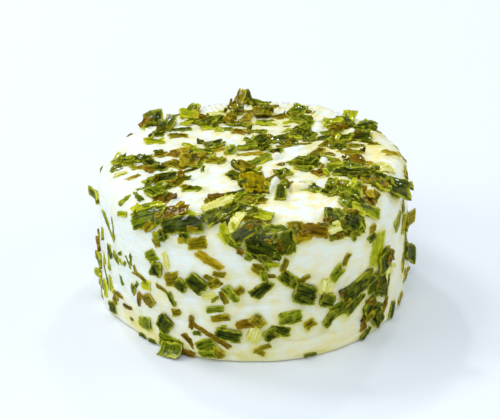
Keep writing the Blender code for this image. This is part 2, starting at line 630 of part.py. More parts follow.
fuse = body.modifiers.new("leaves fused on", "BOOLEAN")
fuse.operation = "UNION"
fuse.operand_type = "COLLECTION"
fuse.collection = leaves
fuse.solver = "MANIFOLD"
fuse.material_mode = "TRANSFER"
bpy.context.view_layer.update()
graph = bpy.context.evaluated_depsgraph_get()
fused = bpy.data.meshes.new_from_object(body.evaluated_get(graph))
body.modifiers.clear()
body.data = fused
drop_loose(body.data)
for piece in list(leaves.objects):
    bpy.data.objects.remove(piece)
bpy.data.collections.remove(leaves)
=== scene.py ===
"""Herbed cream cheese: a short round drum of fresh cheese, coated all over in chopped chives.

Lengths are in millimetres until a mesh is made, and the front of the drum is towards -Y.
"""

import math
import random

import bpy
import numpy as np
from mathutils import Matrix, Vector, noise


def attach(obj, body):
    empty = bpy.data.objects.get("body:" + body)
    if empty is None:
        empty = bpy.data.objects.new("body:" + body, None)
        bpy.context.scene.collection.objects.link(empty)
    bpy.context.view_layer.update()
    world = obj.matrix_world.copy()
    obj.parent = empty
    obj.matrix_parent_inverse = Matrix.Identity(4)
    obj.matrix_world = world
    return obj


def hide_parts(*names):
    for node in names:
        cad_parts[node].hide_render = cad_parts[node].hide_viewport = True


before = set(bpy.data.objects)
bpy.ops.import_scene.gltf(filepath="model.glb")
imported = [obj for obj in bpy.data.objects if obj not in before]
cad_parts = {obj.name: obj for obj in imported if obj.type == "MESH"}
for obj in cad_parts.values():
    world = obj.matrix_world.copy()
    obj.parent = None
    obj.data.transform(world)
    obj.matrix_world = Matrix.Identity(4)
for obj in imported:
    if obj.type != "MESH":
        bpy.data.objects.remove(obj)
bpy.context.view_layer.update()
MM = 0.001


# The camera, the white table and the light.
# A close view from a little above with a long lens, on a plain white sweep. A window behind on the
# left and soft boxes all round light it softly, and throw a pale shadow to the front right.

PHOTO_WIDTH = 500
LENS_PIXELS = 1824
ELEVATION = math.radians(28.4)
CAMERA_DISTANCE = 420.0
AIM_LEFT, AIM_UP = 0.78, 2.58
MIDDLE_HEIGHT = 16.5


def linear(hex_colour):
    """The linear colour of an sRGB hex value."""
    found = []
    for place in (1, 3, 5):
        value = int(hex_colour[place:place + 2], 16) / 255
        found.append(value / 12.92 if value <= 0.04045 else ((value + 0.055) / 1.055) ** 2.4)
    return (*found, 1.0)


def add(tree, kind, settings=None, **links):
    """Adds one node. A link has its socket's name, with _ for a space, or its number after i."""
    node = tree.nodes.new(kind)
    for name, value in (settings or {}).items():
        if isinstance(name, int) or name in node.inputs:
            node.inputs[name].default_value = value
        else:
            setattr(node, name, value)
    for name, source in links.items():
        numbered = name[1:].isdigit()
        socket = node.inputs[int(name[1:]) if numbered else name.replace("_", " ")]
        tree.links.new(source, socket)
    return node


def mapped(tree, value, low, high, at_low=0.0, at_high=1.0):
    """Maps the range from low to high onto the one from at_low to at_high, and stops at its ends."""
    ends = {"From Min": low, "From Max": high, "To Min": at_low, "To Max": at_high}
    return add(tree, "ShaderNodeMapRange", ends, Value=value).outputs["Result"]


back = Vector((0, -math.cos(ELEVATION), math.sin(ELEVATION)))
up = Vector((0, math.sin(ELEVATION), math.cos(ELEVATION)))
middle = Vector((0, 0, MIDDLE_HEIGHT))
eye = middle + back * CAMERA_DISTANCE
aim = middle + up * AIM_UP + Vector((-AIM_LEFT, 0, 0))
camera = bpy.data.objects.new("camera", bpy.data.cameras.new("camera"))
camera.data.sensor_width = 36
camera.data.lens = LENS_PIXELS * camera.data.sensor_width / PHOTO_WIDTH
camera.data.clip_start = 0.02
camera.data.clip_end = 20
camera.location = eye * MM
camera.rotation_euler = (aim - eye).to_track_quat("-Z", "Y").to_euler()
bpy.context.scene.collection.objects.link(camera)
bpy.context.scene.camera = camera
bpy.context.scene.view_settings.view_transform = "Standard"

table_mesh = bpy.data.meshes.new("white_table")
table_mesh.from_pydata([(-6, -6, 0), (6, -6, 0), (6, 6, 0), (-6, 6, 0)], [], [(0, 1, 2, 3)])
table = bpy.data.objects.new("white_table", table_mesh)
bpy.context.scene.collection.objects.link(table)
# Matt white paper: it has no shine of its own, and is a little cooler than the cheese
paper = bpy.data.materials.new("matt white paper")
paper.use_nodes = True
paper_shader = paper.node_tree.nodes["Principled BSDF"]
paper_shader.inputs["Base Color"].default_value = linear("#E9EDF5")
paper_shader.inputs["Roughness"].default_value = 0.9
paper_shader.inputs["Specular IOR Level"].default_value = 0.1
table_mesh.materials.append(paper)

# The room is white all round, but its far wall is dim, so that wet leaves show their own colour.
world = bpy.data.worlds.new("white room with a dim far wall")
bpy.context.scene.world = world
world.use_nodes = True
room = world.node_tree
towards = add(room, "ShaderNodeTexCoord").outputs["Generated"]
towards = add(room, "ShaderNodeSeparateXYZ", Vector=towards).outputs["Y"]
NEAR_WALL, FAR_WALL = 0.62, 0.03
wall = mapped(room, towards, 0.35, 0.80, NEAR_WALL, FAR_WALL)
room.nodes["Background"].inputs["Color"].default_value = linear("#EEFBFD")
room.links.new(wall, room.nodes["Background"].inputs["Strength"])


def window(name, place, size, watts, colour):
    """A soft square lamp that faces the cheese."""
    lamp = bpy.data.lights.new(name, "AREA")
    lamp.size = size
    lamp.energy = watts
    lamp.color = linear(colour)[:3]
    held = bpy.data.objects.new(name, lamp)
    held.location = place
    held.rotation_euler = (Vector((0, 0, 0.02)) - Vector(place)).to_track_quat("-Z", "Y").to_euler()
    bpy.context.scene.collection.objects.link(held)


window("window behind left", (-0.55, 0.35, 0.85), 0.26, 2.5, "#FFFBF8")
window("lamp over the table", (-0.05, 0.05, 0.95), 0.07, 0.20, "#F4F8FF")
window("small lamp behind", (-0.30, 0.52, 0.76), 0.06, 1.15, "#F8F8FF")
window("small lamp behind right", (0.22, 0.62, 0.70), 0.06, 0.80, "#F4F8FF")
window("soft box on the left", (-0.80, -0.20, 0.55), 0.50, 2.0, "#FAFAFF")
window("soft box on the right", (0.80, 0.05, 0.60), 0.50, 1.35, "#FFFAF8")
window("soft box above the camera", (-0.05, -0.55, 0.84), 0.60, 2.4, "#FAFAFF")


# The drum of fresh cheese.
# Curd that was drained in a round mould and turned out: soft, white and a little moist, with a
# broad rounded rim, a flat underside and dents where hands pressed the herbs on.

DRUM_RADIUS = 35.0
DRUM_HEIGHT = 33.0
RIM_RADIUS = 6.0
FOOT_RADIUS = 0.9
TOP_CROWN = 0.5
RISE_RIGHT = 0.75
DROP_BACK = 0.5
FLAT = DRUM_RADIUS - RIM_RADIUS
RIM_ARC = RIM_RADIUS * math.pi / 2
WALL = FLAT + RIM_ARC
WALL_HEIGHT = DRUM_HEIGHT - RIM_RADIUS

# Pushed out (+) or in (-) by hand, on the side: angle from the front, height, spread, amount
DENTS_SIDE = (
    (-50, 2.5, 5.5, -0.75), (-72, 1.5, 4.0, 0.7), (-20, 19, 7.0, 0.25), (8, 12, 8.0, -0.25),
    (30, 24, 6.0, 0.25), (52, 5, 6.0, -0.25), (86, 8, 5.5, 0.7), (125, 17, 9.0, -0.4),
    (165, 9, 8.0, 0.35), (205, 22, 8.0, -0.35), (245, 10, 8.0, 0.3), (-80, 20, 6.0, 0.2),
)
# and on top: x, y, spread, amount
DENTS_TOP = (
    (30, 8, 3.5, -0.7), (-27, 13, 3.5, -0.7), (15, 26, 3.5, 0.6), (-22, 15, 4.0, 0.3),
    (16, -11, 3.0, -0.35), (7, -20, 5.0, 0.25), (-11, -10, 5.0, -0.2), (4, 14, 5.0, -0.2),
    (19, 4, 4.5, -0.25),
)


def pressed(points):
    """How far the dents and swellings move the plain drum's skin at these points."""
    total = np.zeros(len(points))
    for angle, height, spread, amount in DENTS_SIDE:
        turn = math.radians(angle)
        centre = (DRUM_RADIUS * math.sin(turn), -DRUM_RADIUS * math.cos(turn), height)
        total += amount * np.exp(-((points - centre) ** 2).sum(1) / spread ** 2)
    for x, y, spread, amount in DENTS_TOP:
        total += amount * np.exp(-((points - (x, y, DRUM_HEIGHT)) ** 2).sum(1) / spread ** 2)
    return total


def skin(angle, run, out):
    """Points this far out from the cheese, at an angle from the front and a run along its skin.

    The run is measured from the middle of the top over the rim and down the side.
    """
    angle, run, out = np.broadcast_arrays(np.asarray(angle, float), run, out)
    tilt = np.clip((run - FLAT) / RIM_RADIUS, 0, math.pi / 2)
    radius = np.where(run < FLAT, run, FLAT + RIM_RADIUS * np.sin(tilt))
    height = WALL_HEIGHT + RIM_RADIUS * np.cos(tilt) - np.maximum(run - WALL, 0)
    around = np.stack([np.sin(angle), -np.cos(angle), 0 * angle], 1)
    plain = around * radius[:, None]
    plain[:, 2] = height
    normal = around * np.sin(tilt)[:, None]
    normal[:, 2] = np.cos(tilt)
    crown = TOP_CROWN * np.maximum(1 - (radius / FLAT) ** 2, 0)
    points = plain + normal * (pressed(plain) + crown + out)[:, None]
    leaning = (RISE_RIGHT * points[:, 0] - DROP_BACK * points[:, 1]) / DRUM_RADIUS
    points[:, 2] += leaning * np.maximum(points[:, 2], 0) / DRUM_HEIGHT
    return points


def rough(points, size, seed):
    """Soft noise at the points, from -1 to 1, with lumps of this size."""
    shift = Vector((seed, 0.3 * seed, 0))
    return np.array([noise.noise(Vector(point) / size + shift) for point in points.tolist()])


def bell(value):
    return np.exp(-value * value)


def smooth(value, low, high):
    """Rises softly from 0 at low to 1 at high."""
    share = np.clip((value - low) / (high - low), 0, 1)
    return share * share * (3 - 2 * share)


# The chopped chives and where they lie.
# Wet cuts of chive and young leek, 2 to 9 mm long: leaf tubes pressed flat, ribbed lengthwise and
# cut off aslant, stuck on the cheese and on one another, with some ends that stand up.

# How proud of the cheese a leaf on it is, and one that lies on other leaves
PROUD = (0.5, 1.05)
FOOT_CLEAR = 0.12
NEARLY_EDGE_ON = 0.45

# On the side: angle from the front, height, length, width, turn, layer, lift of the far end, kind
SIDE = (
    (-85, 24.6, 4.0, 2.8, 168, 1, 1.5, "mid"), (-67, 22.5, 8.2, 1.2, -33, 0, 0.0, "mid"),
    (-57, 18.5, 1.5, 1.0, 30, 0, 0.0, "mid"), (-57, 16.5, 1.6, 0.9, -20, 0, 0.0, "lime"),
    (-54, 17.0, 1.3, 1.1, 70, 0, 0.0, "mid"), (-50, 19.0, 2.6, 1.2, 80, 0, 0.0, "mid"),
    (-49, 16.0, 1.6, 1.0, 10, 0, 0.0, "olive"), (-44.5, 16.0, 3.2, 1.0, -18, 0, 0.0, "olive"),
    (-47, 13.5, 1.8, 1.0, 60, 0, 0.0, "mid"), (-42, 14.5, 2.6, 2.4, 10, 0, 0.0, "lime"),
    (-49, 11.5, 3.2, 1.6, 80, 0, 0.0, "mid"), (-41.2, 10.9, 3.6, 3.3, 35, 0, 0.0, "olive"),
    (-85, 14.2, 3.2, 2.9, 60, 0, 0.4, "olive"), (-86, 11.6, 3.6, 2.6, 170, 1, 0.6, "brown"),
    (-82, 8.8, 3.4, 2.8, 150, 1, 0.5, "mid"), (-67.5, 13.4, 4.2, 1.4, -78, 0, 0.0, "lime"),
    (-84, 3.8, 4.2, 2.6, 172, 1, 1.0, "lime"), (-80, 2.4, 4.0, 2.6, 85, 0, 0.3, "mid"),
    (-72, 4.6, 3.4, 2.0, -60, 0, 0.0, "lime"), (-71.5, 8.0, 5.8, 1.2, -44, 0, 0.0, "mid"),
    (-75, 5.0, 2.8, 2.4, 30, 0, 0.0, "mid"), (-66, 1.9, 3.6, 3.0, 20, 0, 0.0, "dark"),
    (-62, 5.5, 1.5, 1.1, 0, 0, 0.0, "brown"), (-53, 5.9, 3.6, 1.1, 10, 0, 0.0, "brown"),
    (-56, 28.5, 3.2, 1.2, 20, 0, 0.0, "lime"), (-39, 22.5, 3.3, 3.0, 35, 0, 0.0, "mid"),
    (-37, 19.7, 3.5, 2.7, 80, 1, 0.0, "dark"), (-32.5, 22.5, 4.2, 1.6, -75, 0, 0.0, "pale"),
    (-30, 18.5, 3.8, 3.5, 20, 0, 0.0, "olive"), (-26.5, 17.5, 3.0, 2.6, -40, 1, 0.0, "dark"),
    (-36.5, 26.3, 2.2, 1.8, -60, 0, 0.0, "olive"), (-37, 28.0, 1.5, 1.4, 0, 0, 0.0, "lime"),
    (-34.5, 15.2, 3.0, 0.9, -20, 0, 0.0, "olive"), (-30.5, 13.5, 3.6, 1.3, -65, 0, 0.0, "mid"),
    (-28.5, 10.5, 2.4, 1.7, 20, 0, 0.0, "olive"), (-51, 3.5, 1.3, 1.0, 0, 0, 0.0, "mid"),
    (-43.5, 4.5, 4.4, 3.2, 15, 0, 0.0, "mid"), (-34, 6.4, 4.2, 3.8, 60, 1, 0.0, "dark"),
    (-31.0, 2.3, 6.4, 3.2, -6, 0, 0.0, "mid"), (-31, 1.1, 2.7, 5.4, -92, 1, 2.0, "mid"),
    (-45, 0.8, 2.2, 1.0, 0, 0, 0.0, "dark"), (-40, 0.7, 2.0, 0.9, 10, 0, 0.0, "dark"),
    (-20, 28.5, 4.4, 2.6, 15, 0, 0.0, "olive"), (-15.5, 25.0, 6.6, 2.0, -30, 0, 0.0, "ochre"),
    (-20.5, 18.8, 4.6, 3.7, -35, 1, 0.0, "dark"), (-16, 21.0, 2.0, 1.2, -30, 0, 0.0, "olive"),
    (-12, 22.0, 2.8, 1.4, -5, 0, 0.0, "olive"), (-13.5, 19.7, 3.2, 2.4, 30, 0, 0.0, "olive"),
    (-16, 16.6, 3.0, 2.0, 10, 0, 0.0, "pale"), (-13.5, 15.8, 2.0, 0.8, 35, 0, 0.0, "mid"),
    (-13.5, 13.2, 4.0, 1.6, 15, 0, 0.0, "mid"), (-10.5, 16.5, 3.4, 1.4, -70, 0, 0.0, "olive"),
    (-7.8, 17.3, 4.4, 1.9, -50, 1, 0.0, "mid"), (-5, 18.3, 2.4, 1.8, 40, 0, 0.0, "olive"),
    (-11.7, 11.2, 4.2, 1.7, 15, 0, 0.0, "olive"), (-10.5, 9.0, 1.2, 1.0, 0, 0, 0.0, "lime"),
    (-22.5, 9.0, 3.4, 1.2, 85, 0, 0.0, "brown"), (-15, 6.3, 9.8, 1.1, -30, 0, 0.0, "brown"),
    (-20.3, 6.5, 1.8, 1.2, 0, 0, 0.0, "dark"), (-23.5, 4.0, 4.2, 1.6, -50, 0, 0.0, "brown"),
    (-9, 7.0, 5.6, 2.8, -10, 1, 0.0, "dark"), (-17, 3.8, 4.6, 3.0, 25, 0, 0.0, "mid"),
    (-16.5, 1.6, 3.6, 1.8, 5, 1, 0.0, "mid"), (-12.5, 2.2, 2.8, 2.4, -20, 0, 0.0, "olive"),
    (2, 23.5, 3.7, 2.5, -30, 0, 0.0, "olive"), (3.7, 22.0, 2.8, 1.5, -80, 1, 0.0, "mid"),
    (7, 24.7, 2.8, 1.0, -8, 0, 0.0, "lime"), (6.3, 22.0, 1.8, 1.0, 0, 0, 0.0, "olive"),
    (11, 24.3, 3.2, 1.7, 65, 0, 0.0, "olive"), (12.5, 20.8, 5.0, 3.0, -40, 0, 0.0, "dark"),
    (3, 18.7, 5.2, 2.7, 40, 0, 0.0, "dark"), (18, 20.3, 3.0, 1.2, 25, 0, 0.0, "olive"),
    (18.6, 16.5, 5.3, 4.6, -25, 1, 0.0, "dark"), (13.3, 11.2, 5.2, 3.2, 3, 0, 0.0, "mid"),
    (-3, 10.0, 3.8, 2.1, 10, 0, 0.0, "brown"), (1.8, 10.7, 3.2, 2.4, -45, 1, 0.0, "olive"),
    (0.3, 7.5, 3.6, 2.8, 70, 0, 0.0, "pale"), (9.5, 8.2, 4.6, 2.8, -15, 0, 0.0, "dark"),
    (6.3, 7.2, 3.4, 2.6, 30, 1, 0.0, "dark"), (3.5, 4.0, 3.6, 1.1, 20, 0, 0.0, "olive"),
    (2.3, 2.9, 2.6, 1.3, -25, 0, 0.0, "olive"), (20.5, 8.8, 2.6, 2.3, 30, 0, 0.0, "olive"),
    (31, 19.8, 3.8, 2.9, 45, 0, 0.0, "mid"), (35, 22.5, 2.9, 1.4, 60, 0, 0.0, "olive"),
    (26.5, 17.5, 3.6, 3.0, 80, 0, 0.0, "pale"), (27.5, 13.7, 3.4, 3.2, -20, 1, 0.0, "dark"),
    (32, 10.5, 5.0, 3.5, 10, 0, 0.0, "mid"), (28.5, 8.8, 4.0, 2.0, 55, 1, 0.0, "dark"),
    (47.5, 27.3, 1.9, 1.7, 10, 0, 0.0, "olive"), (47.5, 25.2, 2.6, 2.2, 20, 0, 0.0, "dark"),
    (51.2, 21.4, 7.8, 4.6, 80, 0, 0.0, "lime"), (56.5, 16.9, 5.2, 4.4, -80, 1, 0.0, "dark"),
    (59.5, 13.0, 3.2, 3.2, 20, 0, 0.0, "pale"), (41.5, 14.1, 9.8, 3.8, 23, 1, 0.2, "dark"),
    (56, 10.9, 5.4, 5.4, 75, 0, 0.0, "dark"), (39.5, 10.7, 6.4, 3.0, 30, 0, 0.0, "dark"),
    (49.5, 13.4, 5.2, 3.6, 70, 0, 0.0, "dark"), (48, 7.6, 4.2, 3.0, 35, 1, 0.0, "dark"),
    (44.5, 5.2, 5.2, 1.6, 80, 0, 0.0, "brown"), (52.5, 3.8, 5.2, 4.0, -60, 1, 0.0, "dark"),
    (57.5, 5.4, 3.6, 1.4, 60, 0, 0.0, "brown"), (64, 2.0, 4.0, 2.6, 60, 0, 0.0, "dark"),
    (73, 2.0, 2.8, 2.0, 30, 0, 0.0, "olive"), (46, 1.2, 3.8, 1.4, 25, 0, 0.0, "dark"),
    (66.5, 24.4, 4.4, 3.2, 40, 0, 0.0, "mid"), (71, 26.0, 3.0, 2.2, -80, 0, 0.0, "olive"),
    (80, 19.9, 5.0, 3.0, 4, 1, 1.0, "olive"), (76, 20.2, 4.8, 2.4, 80, 0, 0.0, "lime"),
    (82, 11.2, 5.4, 3.8, -40, 1, 1.1, "dark"), (80, 16.4, 6.0, 2.4, -80, 0, 0.2, "olive"),
    (75, 11.0, 5.0, 2.2, 80, 0, 0.0, "olive"), (78, 6.0, 3.8, 2.4, 30, 0, 0.0, "olive"),
    (86, 4.0, 3.8, 2.4, 10, 0, 0.6, "olive"), (21, 0.9, 3.0, 0.8, 0, 0, 0.0, "dark"),
    (-74.5, 18.2, 3.0, 1.4, -80, 0, 0.3, "mid"), (-62.5, 23.2, 5.6, 0.6, -82, 0, 0.0, "mid"),
    (-66, 16.4, 3.4, 2.2, -70, 0, 0.2, "dark"), (-60.5, 16.4, 2.8, 1.6, -30, 0, 0.0, "mid"),
    (-51.5, 17.8, 3.2, 0.9, -50, 0, 0.0, "mid"), (-47.5, 17.0, 2.6, 1.2, -60, 0, 0.0, "olive"),
    (-46, 9.8, 4.2, 1.6, 75, 0, 0.0, "brown"), (-63, 5.4, 3.6, 2.3, 70, 0, 0.2, "olive"),
    (-66.5, 7.8, 3.8, 1.8, -70, 0, 0.2, "lime"), (-58.5, 7.2, 2.4, 1.0, 0, 0, 0.0, "olive"),
    (-73, 12.6, 3.0, 1.2, -80, 0, 0.2, "lime"), (-57, 11.8, 2.2, 0.8, -60, 0, 0.0, "mid"),
    (72.5, 21.4, 4.2, 1.6, 80, 0, 0.0, "olive"), (76.5, 17.2, 3.0, 1.4, 80, 0, 0.0, "mid"),
    (77, 13.6, 3.8, 1.6, -80, 0, 0.0, "dark"), (-25, 0.9, 4.4, 1.6, -8, 0, 0.0, "brown"),
)

# On top, as if the rim were rolled flat: x, y, length, width, turn, layer, lift, kind
TOP = (
    (-23.5, 17.4, 4.6, 3.8, 80, 1, 2.0, "dark"), (-21.3, 14.0, 5.0, 2.6, 85, 1, 0.5, "dark"),
    (-19.7, 15.3, 6.2, 2.4, 80, 1, 1.2, "dark"), (-25.2, 15.2, 2.8, 1.6, 60, 0, 0.0, "lime"),
    (-21.8, 11.4, 3.6, 2.7, 70, 0, 0.0, "dark"), (-17.2, 13.4, 5.6, 1.5, 5, 0, 0.0, "dark"),
    (-17.3, 10.0, 4.6, 2.1, 10, 0, 0.0, "olive"), (-22.8, 7.5, 4.5, 2.6, 3, 0, 0.0, "lime"),
    (-21.2, 0.5, 2.9, 3.1, 0, 0, 0.0, "olive"), (-17.6, 0.4, 3.2, 3.0, -35, 0, 0.0, "brown"),
    (-15.0, 20.6, 4.8, 3.4, -20, 1, 0.3, "lime"), (-14.8, 23.6, 3.8, 3.0, 50, 1, 0.9, "mid"),
    (-14.3, 18.2, 3.8, 2.6, 0, 0, 0.0, "mid"), (-12.5, 19.8, 5.0, 1.7, -40, 1, 0.0, "brown"),
    (-17.6, 21.7, 2.4, 0.8, 20, 0, 0.0, "dark"), (-11.0, 17.2, 4.5, 2.8, 35, 1, 0.0, "dark"),
    (-8.2, 19.2, 5.0, 4.6, 20, 0, 0.0, "mid"), (-8.3, 22.4, 5.6, 1.8, 5, 0, 0.0, "pale"),
    (-10.2, 14.7, 4.4, 1.6, 12, 0, 0.0, "lime"), (-8.0, 13.2, 2.0, 1.4, -10, 0, 0.0, "lime"),
    (-5.6, 19.5, 6.5, 1.9, 72, 1, 0.0, "olive"), (-3.6, 22.8, 3.8, 2.6, 80, 1, 0.3, "dark"),
    (-1.6, 20.2, 5.0, 2.5, 85, 0, 0.0, "ochre"), (-4.2, 27.0, 5.6, 2.0, 55, 1, 2.6, "olive"),
    (-0.6, 28.4, 4.8, 1.7, 118, 1, 2.4, "dark"), (-3.9, 16.9, 4.2, 3.0, -10, 0, 0.0, "olive"),
    (-3.8, 15.4, 4.6, 1.0, -8, 1, 0.0, "mid"), (-3.3, 12.4, 3.3, 2.4, -8, 0, 0.0, "brown"),
    (-1.3, 16.5, 2.4, 1.6, 10, 0, 0.0, "lime"), (0.6, 12.7, 5.2, 1.8, -2, 0, 0.0, "mid"),
    (-29.3, -3.2, 4.6, 2.7, 12, 1, 0.2, "mid"), (-30.8, -5.5, 3.3, 2.8, 20, 0, 0.0, "dark"),
    (-27.6, -4.8, 3.0, 2.2, -25, 0, 0.0, "mid"), (-26.2, -2.8, 7.0, 2.3, 4, 1, 0.2, "dark"),
    (-25.5, -6.0, 4.1, 2.3, 5, 0, 0.0, "olive"), (-23.0, -4.8, 4.0, 2.8, -60, 1, 0.2, "dark"),
    (-21.0, -6.2, 4.0, 2.8, -20, 0, 0.0, "dark"), (-31.2, 0.2, 4.2, 1.0, 68, 0, 0.0, "lime"),
    (-29.6, -8.6, 2.8, 1.4, 5, 0, 0.0, "pale"), (-26.7, -10.8, 3.6, 1.1, 38, 0, 0.0, "ochre"),
    (-19.3, -11.9, 5.4, 4.0, 12, 1, 0.2, "dark"), (-23.0, -12.2, 3.4, 2.2, 60, 0, 0.0, "lime"),
    (-17.2, -13.2, 4.3, 4.0, 60, 0, 0.0, "olive"), (-15.5, -11.8, 3.0, 2.4, -70, 0, 0.0, "lime"),
    (-21.2, -18.7, 5.0, 3.8, -60, 1, 0.3, "mid"), (-19.0, -15.4, 3.2, 3.0, 30, 0, 0.0, "dark"),
    (-19.7, -20.7, 4.8, 3.8, 80, 0, 0.0, "brown"), (-23.8, -16.2, 3.4, 0.9, 20, 0, 0.0, "mid"),
    (-25.0, -19.2, 4.0, 1.2, -62, 0, 0.0, "mid"), (-28.2, -18.4, 3.0, 1.2, 5, 0, 0.0, "mid"),
    (-13.3, -16.5, 4.6, 2.4, -5, 0, 0.0, "mid"), (-18.6, -4.6, 2.8, 2.2, 20, 0, 0.0, "olive"),
    (-14.6, 5.0, 3.6, 1.7, -25, 0, 0.0, "lime"), (-13.3, 3.0, 2.6, 2.2, -10, 0, 0.0, "brown"),
    (-15.8, 2.2, 3.5, 3.2, 35, 0, 0.0, "ochre"), (-11.3, 1.2, 5.0, 2.4, -12, 1, 0.0, "mid"),
    (-10.5, -1.6, 3.6, 2.0, 0, 0, 0.0, "brown"), (-16.9, -4.8, 5.0, 3.2, -40, 0, 0.0, "olive"),
    (-14.3, -3.6, 5.4, 4.4, 85, 1, 0.2, "olive"), (-12.2, -4.2, 4.6, 2.2, 75, 0, 0.0, "mid"),
    (-11.2, -6.2, 4.0, 1.2, 88, 0, 0.0, "mid"), (-13.8, -7.2, 4.2, 1.3, 30, 0, 0.0, "dark"),
    (-8.6, -2.8, 4.9, 3.2, -6, 0, 0.0, "olive"), (-8.9, 5.0, 4.6, 4.0, 25, 1, 0.3, "dark"),
    (-7.8, 2.6, 3.0, 1.6, 25, 0, 0.0, "ochre"), (-5.5, 2.0, 3.6, 2.0, 85, 0, 0.0, "lime"),
    (-22.8, -25.7, 8.0, 4.4, -12, 1, 0.2, "mid"), (-22.2, -23.3, 5.6, 1.7, -8, 1, 0.0, "lime"),
    (-17.3, -26.4, 7.0, 2.8, -8, 1, 0.2, "brown"), (-14.0, -27.6, 2.8, 2.4, -30, 0, 0.0, "lime"),
    (-14.9, -30.1, 9.8, 3.5, -11, 1, 0.2, "dark"), (-20.0, -30.6, 3.0, 2.2, -15, 0, 0.0, "dark"),
    (-15.2, -32.4, 2.8, 2.2, -40, 0, 0.0, "dark"), (-15.4, -33.2, 3.0, 1.2, -12, 0, 0.0, "ochre"),
    (-11.7, -28.8, 2.5, 2.2, 10, 0, 0.0, "lime"), (-1.2, 7.8, 2.2, 1.6, -35, 0, 0.0, "dark"),
    (1.8, 7.0, 4.6, 4.2, 40, 1, 0.2, "dark"), (-1.4, 3.8, 4.7, 2.4, 8, 1, 0.0, "mid"),
    (2.2, 4.0, 3.7, 2.4, -15, 0, 0.0, "dark"), (-0.8, 0.9, 6.0, 1.8, 6, 0, 0.0, "ochre"),
    (1.4, -2.6, 6.6, 2.8, 38, 0, 0.0, "mid"), (6.2, 7.6, 4.5, 3.0, 15, 1, 0.0, "dark"),
    (8.4, 6.4, 3.5, 2.6, 10, 0, 0.0, "dark"), (10.3, 5.6, 6.2, 2.0, 12, 0, 0.0, "olive"),
    (9.6, 8.2, 3.0, 1.4, 5, 1, 0.0, "lime"), (5.0, 2.0, 3.1, 2.6, -15, 0, 0.0, "dark"),
    (-2.0, -6.4, 4.6, 3.7, -45, 1, 0.2, "olive"), (-4.3, -10.0, 4.2, 3.3, -55, 0, 0.0, "dark"),
    (0.3, -9.0, 4.8, 0.9, 58, 1, 0.0, "lime"), (0.2, -15.0, 9.4, 5.2, -80, 1, 0.2, "mustard"),
    (3.0, -15.2, 6.4, 1.9, 76, 0, 0.0, "dark"), (6.6, -9.2, 3.2, 3.1, 10, 1, 0.0, "dark"),
    (7.0, -13.2, 4.2, 1.6, -75, 0, 0.0, "olive"), (4.0, -11.2, 3.8, 1.4, 35, 0, 0.0, "olive"),
    (5.9, -18.8, 6.0, 2.4, 88, 1, 0.0, "dark"), (2.0, 22.4, 5.6, 4.2, -80, 1, 0.4, "olive"),
    (1.3, 27.8, 5.6, 1.8, -25, 1, 0.4, "mid"), (4.6, 26.4, 3.0, 0.8, -15, 0, 0.0, "olive"),
    (3.0, 16.4, 5.0, 1.2, -5, 0, 0.0, "lime"), (6.4, 20.2, 3.5, 2.8, 15, 0, 0.0, "olive"),
    (10.2, 22.6, 4.8, 4.0, 60, 1, 0.4, "mid"), (12.9, 22.8, 2.8, 1.9, -20, 0, 0.0, "olive"),
    (10.9, 18.4, 4.7, 4.4, -30, 1, 0.0, "mid"), (8.2, 17.2, 3.1, 2.0, 20, 0, 0.0, "lime"),
    (12.6, 15.4, 4.2, 2.9, 60, 1, 0.0, "mid"), (10.6, 14.2, 3.0, 2.4, 0, 0, 0.0, "dark"),
    (11.5, 10.6, 4.7, 3.8, -35, 1, 0.0, "dark"), (9.0, 11.0, 4.6, 1.4, 68, 0, 0.0, "lime"),
    (7.4, 12.6, 3.0, 1.4, 45, 0, 0.0, "lime"), (15.0, 8.4, 7.0, 1.8, 14, 0, 0.0, "dark"),
    (16.4, 16.4, 2.8, 2.5, -50, 0, 0.0, "pale"), (17.7, 15.8, 4.6, 2.2, -65, 0, 0.0, "olive"),
    (18.7, 17.4, 4.2, 2.6, 8, 1, 0.2, "lime"), (19.7, 14.2, 4.2, 3.5, 60, 0, 0.0, "brown"),
    (22.1, 17.6, 4.4, 2.9, 78, 1, 1.5, "lime"), (25.5, 14.9, 4.4, 2.8, 20, 1, 0.6, "dark"),
    (26.3, 17.9, 3.2, 2.9, 60, 0, 1.1, "mid"), (28.4, 15.6, 3.8, 1.6, -50, 0, 0.2, "mid"),
    (16.6, 6.0, 4.7, 1.9, 58, 0, 0.0, "olive"), (19.3, 4.8, 4.5, 3.1, -5, 0, 0.0, "dark"),
    (20.0, 7.8, 5.4, 2.8, -8, 1, 0.3, "mid"), (14.4, 1.6, 5.5, 2.6, 62, 0, 0.0, "olive"),
    (17.0, -2.4, 4.2, 2.4, -15, 0, 0.0, "mid"), (16.8, 0.6, 3.6, 1.2, -28, 0, 0.0, "olive"),
    (11.5, -3.4, 4.7, 3.6, -10, 1, 0.0, "dark"), (11.2, -6.7, 4.5, 2.1, -4, 0, 0.0, "mid"),
    (13.7, -4.2, 4.2, 2.2, 85, 0, 0.0, "dark"), (8.8, -3.7, 2.8, 2.5, 20, 0, 0.0, "mid"),
    (6.1, -4.6, 1.8, 1.4, -30, 0, 0.0, "olive"), (14.7, -8.4, 3.3, 2.6, 40, 0, 0.0, "brown"),
    (17.8, -6.6, 4.4, 3.2, 5, 0, 0.0, "mid"), (18.2, -5.2, 3.4, 1.4, 5, 1, 0.0, "lime"),
    (10.3, -14.2, 3.2, 1.1, 28, 0, 0.0, "lime"), (12.6, -16.4, 4.7, 2.8, -22, 0, 0.0, "mid"),
    (17.2, -14.2, 3.4, 2.3, 80, 1, 0.3, "mid"), (16.6, -17.8, 4.2, 4.0, -40, 0, 0.0, "dark"),
    (18.7, -17.8, 3.8, 2.6, 60, 0, 0.0, "olive"), (25.2, 12.2, 4.5, 2.2, -6, 0, 0.0, "mid"),
    (24.6, 8.6, 5.2, 4.0, -8, 1, 0.2, "dark"), (27.2, 6.0, 3.2, 2.2, 8, 0, 0.0, "olive"),
